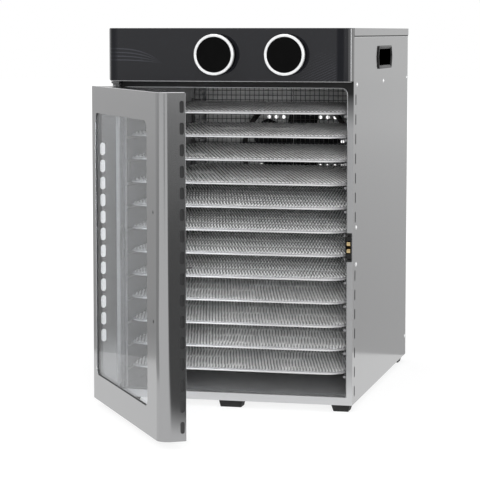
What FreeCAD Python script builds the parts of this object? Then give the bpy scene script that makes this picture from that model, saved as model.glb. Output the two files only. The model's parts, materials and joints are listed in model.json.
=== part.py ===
"""Twelve-tray food dehydrator: a stainless cabinet with a glass door, built piece by piece.

Everything is modelled round the cabinet's own axes: X to the right, Y to the back from the front
plate's face, Z up from the floor.  Each piece is moved by ORIGIN_SHIFT as it is written, so that the
origin lies under the middle of the whole object with its door open.  Millimetres throughout.
"""
import FreeCAD
import Part
import math
import os

V = FreeCAD.Vector
X, Y, Z = V(1, 0, 0), V(0, 1, 0), V(0, 0, 1)

# ---------------------------------------------------------------- driving dimensions: cabinet
WIDTH = 345.0                 # cabinet, side to side
DEPTH = 480.0                 # front plate to back panel
HEIGHT = 526.0                # cabinet without its feet
SHEET = 0.8                   # outer sheet
LINER_SHEET = 0.6             # chamber sheet
SLIP = 0.3                    # gap between a moving piece and what it passes
OVER = 1.0                    # how far a cutting tool runs past the face it opens

FOOT_HEIGHT = 10.5
FOOT_TOP, FOOT_BOTTOM = 27.0, 21.0
FOOT_INSET_X, FOOT_INSET_Y = 4.0, 6.0
CENTRE_FOOT = (34.0, 24.0)    # front block, width and depth
CENTRE_FOOT_X = -4.0
CENTRE_FOOT_TAPER = 4.0
FOOT_RECESS = (4.3, 3.0)      # radius and depth of the screw's recess under a foot

# opening in the front plate
BORDER_SIDE = 8.5
BORDER_BOTTOM = 11.0
BORDER_TOP = 9.5              # between the opening and the fascia
OPENING_RADIUS = 7.0          # upper corners
OPENING_LOW_RADIUS = 1.5      # lower corners
OPENING_RETURN = 14.0         # depth of the folded edge round the opening
OUTER_RETURN = 10.0           # depth of the folded edge along the panels
COVER_FLANGE = 10.5
PANEL_FLANGE = 12.0
FOLD_GAP = 1.0                # between two folds that end near each other

# vent slots, in the side panels and in the door's free flange
SLOT_LENGTH, SLOT_WIDTH = 15.4, 5.6
SLOT_COUNT = 16
SLOT_FIRST = 18.0             # lowest slot centre above the base
SLOT_LAST = 26.0              # highest slot centre below the fascia
SIDE_SLOT_Y = 17.5

# screws and rivets in the side and back panels
SCREW_BELOW_FASCIA = 5.0      # upper row of side screws
SCREW_BEHIND_SLOTS, SCREW_BEFORE_HANDLE = 9.0, 8.0
SCREW_ABOVE_BASE = 30.0       # lowest side screw
RIVET_BEHIND_SLOTS, RIVET_BEYOND_CATCH = 8.0, 6.0
BACK_SCREW_LOW, BACK_SCREW_HIGH = 60.0, 50.0

# back panel vents
VENT_RADIUS = 3.0
VENT_PITCH_X, VENT_PITCH_Z = 12.2, 13.2
VENT_FIELD = 80.0             # radius of the round field of vents

# ---------------------------------------------------------------- door
DOOR_OPEN = 58.4              # degrees from closed, as the object stands
DOOR_GAP = 2.5                # door's inner edge to the front plate
DOOR_DEPTH = 35.5
DOOR_TOP_GAP = 8.2            # between the door and the fascia
DOOR_SHEET = 0.8
DOOR_RADIUS = 16.0            # rounded upright edge on the free side
DOOR_BACK_LIP = 12.0
HINGE_IN = 3.2                # hinge axis in from the cabinet's side
HINGE_FORWARD = 5.0           # hinge axis in front of the front plate
PIN_RADIUS = 1.5
PIN_CLEARANCE = 0.05
BUSH_RADIUS = 2.2
BUSH_HEAD = 0.6
BUSH_COLLAR = 0.2             # collar beyond the sleeve
BUSH_TAIL = 0.5               # sleeve beyond the pin's end
PIN_DEPTH = 9.0               # pin's length inside the door
BRACKET = 3.0                 # hinge bracket plate
BRACKET_REACH, BRACKET_NOSE = 8.0, 6.5  # beyond the hinge axis, sideways and forward
BRACKET_UNDER_FASCIA = 1.6
BRACKET_FLANGE = 2.0          # top bracket's flange against the front plate
BRACKET_TAIL = 22.0           # bottom bracket's length under the base pan

WINDOW_FROM_HINGE, WINDOW_FROM_FREE = 18.5, 57.5
WINDOW_FROM_BOTTOM, WINDOW_FROM_TOP = 36.5, 37.0
WINDOW_RADIUS = 11.0
GLASS = 4.0
GLASS_OVERLAP = 8.0
SEAL = 0.8
RETAINER = 1.2
RETAINER_REVEAL = 1.0         # its inner edge outside the window's edge
SKIN_FOLD, SKIN_LIP_FOLD = 1.5, 0.5    # fold radii on the hinge side and at the lip

HINGE_SLOT_LENGTH, HINGE_SLOT_WIDTH = 18.0, 7.3
HINGE_SLOT_COUNT = 12
HINGE_SLOT_MARGIN = 89.0      # outermost slot centres from the door's ends
SLOT_FROM_BACK = 5.2          # free flange slots, from the door's inner edge
HINGE_SLOT_FROM_FRONT = 16.0  # hinge flange slots, from the door's outer face
HANDLE_HOLE_X = 27.5          # handle screw holes, from the free side
HANDLE_SPACING = 140.0
HANDLE_BORE = 2.0
RIVET_NUT = (4.0, 9.0)        # radius and length

# ---------------------------------------------------------------- roller catch
CATCH_WIDTH, CATCH_HEIGHT = 9.0, 40.0
CATCH_IN = 1.5                # catch's outer side in from the cabinet's side
CATCH_FRONT, CATCH_DEPTH = 1.6, 15.6
CATCH_WALL, CATCH_END = 1.0, 3.0
ARM_SLIP, FORK_WALL = 0.15, 0.7
ARM_NOSE, ARM_NEAR = 2.0, 1.6  # arm beyond the roller's axis, forward and inward
ARM_ROOM, ARM_BACK = 4.2, 2.0  # room round the roller, and the wall behind it
ROLLER_RADIUS, ROLLER_GAP = 3.5, 3.0
ROLLER_SETBACK = 3.6          # roller axis behind the catch's front
SPINDLE_RADIUS = 1.0
CATCH_TRAVEL = 1.2
STRIKE_THICK, STRIKE_REACH = 2.4, 9.5
STRIKE_BASE = (7.0, 1.6, 28.0)
STRIKE_LEFT, STRIKE_RIGHT = 2.5, 1.5   # tongue's sides from the catch's middle
NOTCH_LEFT, NOTCH_RIGHT = 1.0, 2.0     # lip's notch past and short of the catch

# ---------------------------------------------------------------- chamber and trays
TRAY_COUNT = 12
TRAY_LOWEST = 30.0            # lowest tray's rim above the opening's lower edge
TRAY_HIGHEST = 36.0           # highest tray's rim below the opening's upper edge
TRAY_FRONT = 15.0             # rim behind the front plate
TRAY_TO_GUARD = 8.0
TRAY_CORNER = 31.0
RIM_RADIUS = 1.5
MESH_THICK = 0.4
RACK_WIRE = 1.8               # radius of the rack's wires
TRAY_SIDE_GAP = 0.8
POST_BITE = 0.5               # depth of the weld where wires cross
RACK_POSTS = 4
RUNNER_START = 1.0            # runners' front ends behind the trays' fronts
RACK_END = 8.0                # wires' ends beyond the outermost posts and runners
CEILING_FOLD = 14.0           # chamber ceiling's folded edges
LINER_START = 2.4             # liner's front edge behind the front plate's face
LINER_CATCH_GAP, LINER_CORNER_GAP = 3.0, 8.0
FLOOR_CHANNEL = 60.0          # width of the two channels under the chamber floor
FLOOR_CHANNEL_X = 60.0
FLOOR_CHANNEL_FRONT, FLOOR_CHANNEL_BACK = 60.0, 40.0
FLOOR_CHANNEL_WALL = 1.0
GUARD_TO_BACK = 66.0          # wire guard in front of the fan, to the back panel
GUARD_THICK, GUARD_BAR, GUARD_PITCH = 1.6, 1.6, 24.0
GUARD_BORDER = 5.0

# ---------------------------------------------------------------- fan, motor and heater
FAN_X, FAN_BELOW_CEILING = 0.0, 113.5
FAN_RADIUS, FAN_HUB = 74.0, 16.0
FAN_BLADES, FAN_TURN = 5, 12.0
FAN_DEPTH = 16.0
FAN_TO_BACK = 51.0            # front of the fan to the back panel
MOTOR_GAP = 6.0               # between fan and motor
BLADE_THICK, BLADE_WIDTH, BLADE_PITCH = 1.4, 46.0, 17.0
BLADE_ROOT = 11.2             # its inner end, inside the hub
BLADE_TIP_RADIUS, BLADE_ROOT_RADIUS = 16.0, 2.0
SHAFT_RADIUS = 2.5
SHAFT_CLEARANCE = 0.05
SHAFT_NOSE = 8.0              # shaft in front of the fan
SHAFT_STOP = 2.0              # motor housing behind the shaft's end
NUT_RADIUS, NUT_DEPTH = 7.0, 5.0
MOTOR_SIZE, MOTOR_DEPTH = 58.0, 20.0
MOTOR_ROUND, MOTOR_CAP = 20.3, 4.0     # round housings on the laminated stack
MOTOR_CORNER = 4.0
STRAP = 2.0                   # motor bracket's sheet
BRACKET_LEG = 97.0            # motor bracket's leg from the fan's axis
BRACKET_WIDTH = 24.0
HEATER_RADIUS, HEATER_TUBE = 87.0, 4.0
HEATER_TO_BACK = 39.0
HEATER_LEGS = 50.0            # half distance between its legs
HEATER_STUB = 4.0             # its legs behind the back panel
CUTOUT_X, CUTOUT_TO_BACK = 70.0, 149.2
CUTOUT_FLANGE, CUTOUT_BODY = (14.0, 2.0), (8.0, 10.0)   # radius and height

# ---------------------------------------------------------------- controls
FASCIA_HEIGHT = 73.0
FASCIA_DEPTH = 25.0
FASCIA_WALL = 2.5
FASCIA_OVERHANG = 0.5
FASCIA_RADIUS = 11.0
DIAL_X = (-15.3, 84.0)        # timer, thermostat
DIAL_RADIUS, DIAL_FACE_RADIUS = 28.3, 24.4
DIAL_BACK_RADIUS, DIAL_WAIST_RADIUS = 27.5, 26.3
DIAL_LENGTH = 20.0
DIAL_GAP = 1.0
RING_DEPTH, RING_FILLET = 6.0, 1.5
FACE_SINK = 0.8
STEM_RADIUS, STEM_CLEARANCE = 3.0, 0.05
STEM_LENGTH = 46.0
STEM_HOLE = 1.0               # fascia's hole round a stem
STEM_STOP = 6.0               # control body's wall behind its bore
BUSH_WALL, BUSH_FRONT = 2.0, 6.0
CONTROL_SIZE, CONTROL_DEPTH, CONTROL_CORNER = 44.0, 34.0, 5.0
PLATE = 2.0                   # controls bracket
PLATE_MARGIN, PLATE_END, PLATE_CORNER = 4.0, 22.0, 3.0

HANDLE_LENGTH, HANDLE_HEIGHT = 133.0, 36.0
HANDLE_BOW = 9.0              # how far its ends bulge
HANDLE_Y = 255.0
HANDLE_FROM_TOP = 42.5
HANDLE_FLANGE = 2.0
HANDLE_POCKET = (85.0, 20.0, 17.0)
HANDLE_POCKET_RADIUS = 5.0
HANDLE_WALL = 2.0
HANDLE_RIM_ENDS, HANDLE_RIM_EDGES = 5.0, 4.0   # flange beyond the hole in the panel
HANDLE_PLUG = 3.2             # how far its plug goes through the hole

INLET_X, INLET_FROM_TOP = 110.0, 42.0
INLET_SIZE = (48.0, 28.0)     # width and height of its body
INLET_SOCKET = (24.5, 17.0, 16.0)
INLET_SOCKET_RADII = (1.0, 1.0, 4.0, 4.0)
INLET_DEPTH = 24.0
INLET_FLANGE = 2.5
INLET_LIP = (4.0, 3.0)        # flange beyond the body, sideways and upward
INLET_PIN = (2.0, 4.0)
INLET_PIN_ROOT = 3.0
INLET_PINS = ((-7.0, -2.0), (0.0, 2.0), (7.0, -2.0))
INLET_PIN_SINK = 6.0          # pins' ends behind the socket's mouth

SCREW_HEAD, SCREW_RISE = 3.3, 1.4
SCREW_SHANK, SCREW_LENGTH, SCREW_HOLE_END = 1.6, 7.0, 1.0

# ---------------------------------------------------------------- places worked out from the above
BASE = FOOT_HEIGHT
TOP = BASE + HEIGHT
SIDE = WIDTH / 2
OPEN_X = SIDE - BORDER_SIDE
OPEN_Z0 = BASE + BORDER_BOTTOM
FASCIA_Z0 = TOP - FASCIA_HEIGHT
OPEN_Z1 = FASCIA_Z0 - BORDER_TOP
BACK = DEPTH - SHEET          # inner face of the back panel
PLATE_TOP = TOP - SHEET
DIAL_Z = TOP - FASCIA_HEIGHT / 2

LINER_X = OPEN_X - LINER_SHEET
CHAMBER_END = BACK - SHEET    # where the chamber sheets meet the panels' folded edges
CEILING = OPEN_Z1
GUARD_Y = BACK - GUARD_TO_BACK
GUARD_BACK = GUARD_Y + GUARD_THICK

HINGE_X = HINGE_IN - SIDE
HINGE_Y = -HINGE_FORWARD
DOOR_BACK = -DOOR_GAP
DOOR_FRONT = DOOR_BACK - DOOR_DEPTH
DOOR_Z0 = BASE + SLIP
DOOR_Z1 = FASCIA_Z0 - DOOR_TOP_GAP
DOOR_MIDDLE = (DOOR_Z0 + DOOR_Z1) / 2
SKIN_BACK = DOOR_FRONT + DOOR_SHEET
WINDOW_X0 = WINDOW_FROM_HINGE - SIDE
WINDOW_X1 = SIDE - WINDOW_FROM_FREE
WINDOW_Z0 = DOOR_Z0 + WINDOW_FROM_BOTTOM
WINDOW_Z1 = DOOR_Z1 - WINDOW_FROM_TOP
GLASS_Y0 = SKIN_BACK + SEAL

CATCH_X0 = SIDE - CATCH_IN - CATCH_WIDTH
CATCH_X = CATCH_X0 + CATCH_WIDTH / 2
CATCH_Z = DOOR_MIDDLE
ROLLER_Y = ROLLER_SETBACK - CATCH_FRONT
ROLLER_OFFSET = ROLLER_GAP / 2 + ROLLER_RADIUS

POST_X = LINER_X - RACK_WIRE
TRAY_SIDE = POST_X - RACK_WIRE - TRAY_SIDE_GAP
RUNNER_X = POST_X - 2 * RACK_WIRE + POST_BITE
RIM_X = TRAY_SIDE - RIM_RADIUS
TRAY_BACK = GUARD_Y - TRAY_TO_GUARD
RIM_Y0, RIM_Y1 = TRAY_FRONT + RIM_RADIUS, TRAY_BACK - RIM_RADIUS
RIM_CORNER = TRAY_CORNER - RIM_RADIUS

FAN_Z = CEILING - FAN_BELOW_CEILING
FAN_Y = BACK - FAN_TO_BACK
HEATER_Y = BACK - HEATER_TO_BACK
MOTOR_Y = FAN_Y + FAN_DEPTH + MOTOR_GAP
MOTOR_BACK = MOTOR_Y + MOTOR_DEPTH
HANDLE_Z = TOP - HANDLE_FROM_TOP
HANDLE_HOLE = (HANDLE_LENGTH - 2 * HANDLE_RIM_ENDS, HANDLE_HEIGHT - 2 * HANDLE_RIM_EDGES)
STEM_BORE = STEM_RADIUS + STEM_CLEARANCE
BUSH_OUTSIDE = STEM_BORE + BUSH_WALL
FORK_HALF = CATCH_WIDTH / 2 - CATCH_WALL - ARM_SLIP
INLET_Z = TOP - INLET_FROM_TOP


def door_turned(x, y):
    """Where a point of the closed door lies once the door stands open."""
    angle = math.radians(DOOR_OPEN)
    dx, dy = x - HINGE_X, y - HINGE_Y
    return (HINGE_X + dx * math.cos(angle) + dy * math.sin(angle),
            HINGE_Y - dx * math.sin(angle) + dy * math.cos(angle))


BOUND_X0 = door_turned(-SIDE, DOOR_FRONT)[0]
BOUND_Y0 = door_turned(SIDE, DOOR_FRONT + DOOR_RADIUS)[1]
BOUND_X1, BOUND_Y1 = SIDE + HANDLE_FLANGE, DEPTH + HEATER_STUB
ORIGIN_SHIFT = V(-(BOUND_X0 + BOUND_X1) / 2, -(BOUND_Y0 + BOUND_Y1) / 2, 0)


# ---------------------------------------------------------------- small helpers
def box(x0, x1, y0, y1, z0, z1):
    return Part.makeBox(x1 - x0, y1 - y0, z1 - z0, V(x0, y0, z0))


def rod(start, end, radius):
    """Round bar from one point to another."""
    along = end - start
    return Part.makeCylinder(radius, along.Length, start, along)


def frustum(start, end, radius_start, radius_end):
    along = end - start
    return Part.makeCone(radius_start, radius_end, along.Length, start, along)


def join(shapes):
    first, rest = shapes[0], shapes[1:]
    return first.multiFuse(rest).removeSplitter() if rest else first


def cut(shape, tools):
    return shape.cut(Part.makeCompound(tools)) if tools else shape


def rounded_outline(u0, u1, v0, v1, radii):
    """Closed wire in the XY plane; radii are for the corners (u0,v0), (u1,v0), (u1,v1), (u0,v1)."""
    corners = [(u0, v0, 1, 1), (u1, v0, -1, 1), (u1, v1, -1, -1), (u0, v1, 1, -1)]
    edges, ends = [], []
    for (u, v, su, sv), r, along_u in zip(corners, radii, (False, True, False, True)):
        on_v, on_u = V(u, v + sv * r, 0), V(u + su * r, v, 0)
        start, end = (on_u, on_v) if along_u else (on_v, on_u)
        ends.append((start, end))
        if r > 0:
            lean = r * (1 - math.sqrt(0.5))
            middle = V(u + su * lean, v + sv * lean, 0)
            edges.append(Part.Arc(start, middle, end).toShape())
    for (_, leave), (reach, _) in zip(ends, ends[1:] + ends[:1]):
        edges.append(Part.makeLine(leave, reach))
    return Part.Wire(Part.__sortEdges__(edges))


def flat_face(outline, holes):
    return Part.makeFace([outline] + list(holes), "Part::FaceMakerBullseye")


def slab_z(outline, z0, z1, holes=()):
    """Outline in XY, raised from z0 to z1."""
    face = flat_face(outline, holes)
    face.translate(V(0, 0, z0))
    return face.extrude(V(0, 0, z1 - z0))


def slab_y(outline, y0, y1, holes=()):
    """Outline whose own axes are world X and Z, with its thickness along Y."""
    face = flat_face(outline, holes)
    face.rotate(V(0, 0, 0), X, 90)
    face.translate(V(0, y0, 0))
    return face.extrude(V(0, y1 - y0, 0))


def slab_x(outline, x0, x1, holes=()):
    """Outline whose own axes are world Y and Z, with its thickness along X."""
    face = flat_face(outline, holes)
    face.rotate(V(0, 0, 0), V(1, 1, 1), 120)
    face.translate(V(x0, 0, 0))
    return face.extrude(V(x1 - x0, 0, 0))


def circle(u, v, radius):
    return Part.Wire(Part.makeCircle(radius, V(u, v, 0), Z))


def slot(u, v, width, length):
    """Obround hole, long way along v."""
    r = width / 2 - 0.001
    return rounded_outline(u - width / 2, u + width / 2, v - length / 2, v + length / 2, (r, r, r, r))


def mirror_x(shape):
    return shape.mirror(V(0, 0, 0), X)


def slot_heights(clear_of=None):
    """Centres of the vent slots, leaving out those beside the roller catch."""
    first, last = BASE + SLOT_FIRST, FASCIA_Z0 - SLOT_LAST
    heights = [first + (last - first) * i / (SLOT_COUNT - 1) for i in range(SLOT_COUNT)]
    if clear_of is None:
        return heights
    return [z for z in heights if abs(z - clear_of) > CATCH_HEIGHT / 2]


def handle_outline(length, height, bow):
    """Recessed handle seen from the side: straight top and bottom, bowed ends; along Y and Z."""
    y0, y1 = HANDLE_Y - length / 2 + bow, HANDLE_Y + length / 2 - bow
    z0, z1 = HANDLE_Z - height / 2, HANDLE_Z + height / 2
    a, b, c, d = V(y0, z0, 0), V(y1, z0, 0), V(y1, z1, 0), V(y0, z1, 0)
    return Part.Wire([
        Part.makeLine(a, b),
        Part.Arc(b, V(y1 + bow, HANDLE_Z, 0), c).toShape(),
        Part.makeLine(c, d),
        Part.Arc(d, V(y0 - bow, HANDLE_Z, 0), a).toShape()])


# ---------------------------------------------------------------- screws
def side_screws():
    """Places (y, z) of the screws in each side panel."""
    row = FASCIA_Z0 - SCREW_BELOW_FASCIA
    rear = DEPTH - PANEL_FLANGE / 2 - SHEET
    return [(SIDE_SLOT_Y + SCREW_BEHIND_SLOTS, row), (HANDLE_Y - SCREW_BEFORE_HANDLE, row), (rear, row),
            (rear, BASE + SCREW_ABOVE_BASE)]


def catch_rivets():
    """Places (y, z) of the two rivets beside the roller catch, right panel only."""
    return [(SIDE_SLOT_Y + RIVET_BEHIND_SLOTS, CATCH_Z + side * (CATCH_HEIGHT / 2 + RIVET_BEYOND_CATCH))
            for side in (-1, 1)]


def back_screws():
    """Places (x, z) of the screws in the back panel."""
    column = SIDE - PANEL_FLANGE / 2 - SHEET
    heights = (BASE + BACK_SCREW_LOW, BASE + HEIGHT / 2, PLATE_TOP - BACK_SCREW_HIGH)
    return [(side * column, z) for side in (-1, 1) for z in heights]


def screw(place, outward):
    """Domed screw: head on the face at place, shank going in."""
    dome_radius = (SCREW_HEAD ** 2 + SCREW_RISE ** 2) / (2 * SCREW_RISE)
    ball = Part.makeSphere(dome_radius, V(0, 0, SCREW_RISE - dome_radius))
    head = ball.common(rod(V(0, 0, 0), V(0, 0, 2 * SCREW_RISE), 2 * SCREW_HEAD))
    solid = head.fuse(rod(V(0, 0, 0), V(0, 0, -SCREW_LENGTH), SCREW_SHANK))
    solid.Placement = FreeCAD.Placement(place, FreeCAD.Rotation(Z, outward))
    return solid


def screw_hole(place, outward):
    return rod(place + outward, place - outward * (SCREW_LENGTH + SCREW_HOLE_END), SCREW_SHANK)


def panel_fixings():
    """All screws in the outer sheets, as (place, outward)."""
    places = [(V(side * SIDE, y, z), X * side) for side in (-1, 1) for y, z in side_screws()]
    places += [(V(SIDE, y, z), X) for y, z in catch_rivets()]
    places += [(V(x, DEPTH, z), Y) for x, z in back_screws()]
    return places


def holes_for_fixings():
    return [screw_hole(place, outward) for place, outward in panel_fixings()]


def make_panel_screws():
    return [screw(place, outward) for place, outward in panel_fixings()]


# ---------------------------------------------------------------- cabinet sheets
def make_base_pan():
    x, y = SIDE - SHEET, DEPTH - SHEET
    pan = box(-x, x, SHEET, y, BASE, BASE + PANEL_FLANGE)
    hollow = box(-x + SHEET, x - SHEET, SHEET - OVER, y - SHEET, BASE + SHEET, BASE + PANEL_FLANGE + OVER)
    screws = [rod(V(px, py, BASE - OVER), V(px, py, BASE + SHEET + OVER), SCREW_SHANK)
              for px, py in foot_places()]
    return [cut(pan, [hollow] + screws)]


def side_panel():
    """Right side panel: slots behind the front edge, a hole for the handle, a fold along the back."""
    z0, z1 = BASE, TOP - SHEET
    sheet = box(SIDE - SHEET, SIDE, SHEET, BACK, z0, z1)
    fold = box(SIDE - PANEL_FLANGE, SIDE, BACK - SHEET, BACK,
               BASE + PANEL_FLANGE + FOLD_GAP, z1 - PANEL_FLANGE)
    slots = [slab_x(slot(SIDE_SLOT_Y, z, SLOT_WIDTH, SLOT_LENGTH), SIDE - SHEET - OVER, SIDE + OVER)
             for z in slot_heights(CATCH_Z)]
    hole = slab_x(handle_outline(*HANDLE_HOLE, HANDLE_BOW), SIDE - SHEET - OVER, SIDE + OVER)
    return cut(sheet.fuse(fold), slots + [hole])


def make_side_panels():
    right = side_panel()
    left = mirror_x(right)
    holes = holes_for_fixings()
    return [cut(left, holes)], [cut(right, holes)]


def vent_holes():
    """Round field of small holes behind the fan."""
    holes = []
    rows, columns = int(VENT_FIELD / VENT_PITCH_Z), int(VENT_FIELD / VENT_PITCH_X)
    for row in range(-rows, rows + 1):
        for column in range(-columns, columns + 1):
            dx, dz = (column + 0.5) * VENT_PITCH_X, row * VENT_PITCH_Z
            if math.hypot(dx, dz) <= VENT_FIELD - VENT_RADIUS:
                holes.append(circle(FAN_X + dx, FAN_Z + dz, VENT_RADIUS))
    return holes


def make_back_panel():
    outline = rounded_outline(-SIDE, SIDE, BASE, TOP - SHEET, (0, 0, 0, 0))
    panel = slab_y(outline, BACK, DEPTH, vent_holes())
    width, height = INLET_SIZE
    inlet = box(INLET_X - width / 2, INLET_X + width / 2, BACK - OVER, DEPTH + OVER,
                INLET_Z - height / 2, INLET_Z + height / 2)
    legs = [heater_leg(side, BACK - OVER, DEPTH + OVER) for side in (-1, 1)]
    return [cut(panel, holes_for_fixings() + legs + [inlet])]


def make_top_cover():
    """Lid with its edges turned down over the sides and the back."""
    x, y = SIDE + SHEET, DEPTH + SHEET
    lid = box(-x, x, 0, y, TOP - COVER_FLANGE, TOP)
    hollow = box(-SIDE, SIDE, -OVER, DEPTH, TOP - COVER_FLANGE - OVER, TOP - SHEET)
    return [lid.cut(hollow)]


def opening_outline(grow=0.0):
    r = OPENING_RADIUS + grow
    low = OPENING_LOW_RADIUS + grow
    return rounded_outline(-OPEN_X - grow, OPEN_X + grow, OPEN_Z0 - grow, OPEN_Z1 + grow, (low, low, r, r))


def make_front_frame():
    """Front plate with a folded edge round the opening and another along the side panels."""
    outer = rounded_outline(-SIDE, SIDE, BASE, PLATE_TOP, (0, 0, 0, 0))
    shafts = [circle(x, DIAL_Z, BUSH_OUTSIDE) for x in DIAL_X]
    plate = slab_y(outer, 0, SHEET, [opening_outline()] + shafts)
    inner_fold = slab_y(opening_outline(SHEET), SHEET, OPENING_RETURN, [opening_outline()])
    side_folds = [box(side * (SIDE - 1.5 * SHEET) - SHEET / 2, side * (SIDE - 1.5 * SHEET) + SHEET / 2,
                      SHEET, OUTER_RETURN, BASE + PANEL_FLANGE + FOLD_GAP, PLATE_TOP) for side in (-1, 1)]
    frame = join([plate, inner_fold] + side_folds)
    room = box(CATCH_X0, CATCH_X0 + CATCH_WIDTH, -OVER, CATCH_DEPTH + OVER,
               CATCH_Z - CATCH_HEIGHT / 2, CATCH_Z + CATCH_HEIGHT / 2)
    return [cut(frame, [room] + holes_for_fixings())]


# ---------------------------------------------------------------- chamber
def make_liners():
    """Two side liners; each seats on the front fold and runs to the back panel."""
    z0, z1 = OPEN_Z0, CEILING - OPENING_RADIUS / 2
    right = box(LINER_X, OPEN_X, CATCH_DEPTH, CHAMBER_END, z0, z1)
    gap = CATCH_HEIGHT / 2 + LINER_CATCH_GAP
    lead = box(LINER_X, OPEN_X, LINER_START, CATCH_DEPTH, CATCH_Z + gap, z1 - LINER_CORNER_GAP)
    lead_low = box(LINER_X, OPEN_X, LINER_START, CATCH_DEPTH, z0 + LINER_CORNER_GAP, CATCH_Z - gap)
    right = join([right, lead, lead_low])
    return [mirror_x(right)], [right]


def make_liner_ceiling():
    """Chamber ceiling, folded down onto the side liners."""
    lid = box(-OPEN_X - LINER_SHEET, OPEN_X + LINER_SHEET, OPENING_RETURN, CHAMBER_END,
              CEILING - CEILING_FOLD, CEILING)
    hollow = box(-OPEN_X, OPEN_X, 0, DEPTH, CEILING - CEILING_FOLD - OVER, CEILING - LINER_SHEET)
    return [lid.cut(hollow)]


def make_chamber_floor():
    """Chamber floor on two open channels that stand on the base pan."""
    floor = box(-OPEN_X - LINER_SHEET, OPEN_X + LINER_SHEET, OPENING_RETURN, CHAMBER_END,
                OPEN_Z0 - LINER_SHEET, OPEN_Z0)
    pieces = [floor]
    for side in (-1, 1):
        middle, half = side * FLOOR_CHANNEL_X, FLOOR_CHANNEL / 2
        inside = half - FLOOR_CHANNEL_WALL
        front, back = FLOOR_CHANNEL_FRONT, BACK - FLOOR_CHANNEL_BACK
        channel = box(middle - half, middle + half, front, back, BASE + SHEET, OPEN_Z0 - LINER_SHEET)
        hollow = box(middle - inside, middle + inside, front - OVER, back + OVER,
                     BASE + SHEET + FLOOR_CHANNEL_WALL, OPEN_Z0 - LINER_SHEET)
        pieces.append(channel.cut(hollow))
    return [join(pieces)]


def make_fan_guard():
    """Welded grid that fills the chamber's cross-section in front of the fan."""
    x0, x1, z0, z1 = -LINER_X, LINER_X, OPEN_Z0, CEILING - LINER_SHEET
    columns = round((x1 - x0 - 2 * GUARD_BORDER) / GUARD_PITCH)
    rows = round((z1 - z0 - 2 * GUARD_BORDER) / GUARD_PITCH)
    step_x = (x1 - x0 - 2 * GUARD_BORDER + GUARD_BAR) / columns
    step_z = (z1 - z0 - 2 * GUARD_BORDER + GUARD_BAR) / rows
    holes = []
    for i in range(columns):
        for j in range(rows):
            u, v = x0 + GUARD_BORDER + i * step_x, z0 + GUARD_BORDER + j * step_z
            holes.append(rounded_outline(u, u + step_x - GUARD_BAR, v, v + step_z - GUARD_BAR, (0, 0, 0, 0)))
    outline = rounded_outline(x0, x1, z0, z1, (0, 0, 0, 0))
    return [slab_y(outline, GUARD_Y, GUARD_BACK, holes)]


def tray_height(index):
    lowest, highest = OPEN_Z0 + TRAY_LOWEST, OPEN_Z1 - TRAY_HIGHEST
    return lowest + (highest - lowest) * index / (TRAY_COUNT - 1)


def make_tray_racks():
    """Wire rack: upright posts against the liner, and one runner welded to them under each tray."""
    first, last = TRAY_FRONT + RACK_END, TRAY_BACK - RACK_END
    posts_y = [first + (last - first) * i / (RACK_POSTS - 1) for i in range(RACK_POSTS)]
    top = tray_height(TRAY_COUNT - 1) + RACK_END
    posts = [rod(V(POST_X, y, OPEN_Z0), V(POST_X, y, top), RACK_WIRE) for y in posts_y]
    runners = []
    for index in range(TRAY_COUNT):
        z = tray_height(index) - RIM_RADIUS - SLIP - RACK_WIRE
        wire = rod(V(RUNNER_X, TRAY_FRONT + RUNNER_START, z), V(RUNNER_X, TRAY_BACK, z), RACK_WIRE)
        runners.append(cut(wire, posts))
    right = posts + runners
    return [mirror_x(wire) for wire in right], right


def make_tray(index):
    """Wire rim with a sheet of woven mesh welded into it."""
    path = rounded_outline(-RIM_X, RIM_X, RIM_Y0, RIM_Y1, (RIM_CORNER,) * 4)
    ring = Part.Wire(Part.makeCircle(RIM_RADIUS, V(0, RIM_Y0, 0), X))
    rim = path.makePipeShell([ring], True, False)
    mesh = slab_z(path, -MESH_THICK / 2, MESH_THICK / 2).cut(rim)
    for piece in (rim, mesh):
        piece.translate(V(0, 0, tray_height(index)))
    return [rim, mesh]


# ---------------------------------------------------------------- fan, motor and heater
def heater_leg_z():
    return FAN_Z - math.sqrt(HEATER_RADIUS ** 2 - HEATER_LEGS ** 2)


def heater_leg(side, y0, y1):
    x, z = FAN_X + side * HEATER_LEGS, heater_leg_z()
    return rod(V(x, y0, z), V(x, y1, z), HEATER_TUBE)


def make_fan_blade():
    """Hub with flat pitched blades."""
    hub = rod(V(FAN_X, FAN_Y, FAN_Z), V(FAN_X, FAN_Y + FAN_DEPTH, FAN_Z), FAN_HUB)
    blades = []
    for i in range(FAN_BLADES):
        outline = rounded_outline(-BLADE_WIDTH / 2, BLADE_WIDTH / 2, BLADE_ROOT, FAN_RADIUS,
                                  (BLADE_ROOT_RADIUS,) * 2 + (BLADE_TIP_RADIUS,) * 2)
        blade = slab_y(outline, -BLADE_THICK / 2, BLADE_THICK / 2)
        blade.rotate(V(0, 0, 0), Z, BLADE_PITCH)
        blade.rotate(V(0, 0, 0), Y, 360 * i / FAN_BLADES + FAN_TURN)
        blade.translate(V(FAN_X, FAN_Y + FAN_DEPTH / 2, FAN_Z))
        blades.append(blade)
    bore = rod(V(FAN_X, 0, FAN_Z), V(FAN_X, DEPTH, FAN_Z), SHAFT_RADIUS)
    return [join([hub] + blades).cut(bore)]


def make_fan_shaft():
    return [rod(V(FAN_X, FAN_Y - SHAFT_NOSE, FAN_Z), V(FAN_X, MOTOR_BACK - SHAFT_STOP, FAN_Z), SHAFT_RADIUS)]


def make_fan_nut():
    corners = [math.radians(60 * i) for i in range(7)]
    nut = Part.makePolygon([V(NUT_RADIUS * math.cos(a), NUT_RADIUS * math.sin(a), 0) for a in corners])
    nut.translate(V(FAN_X, FAN_Z, 0))
    return [slab_y(nut, FAN_Y - NUT_DEPTH, FAN_Y, [circle(FAN_X, FAN_Z, SHAFT_RADIUS)])]


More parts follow.
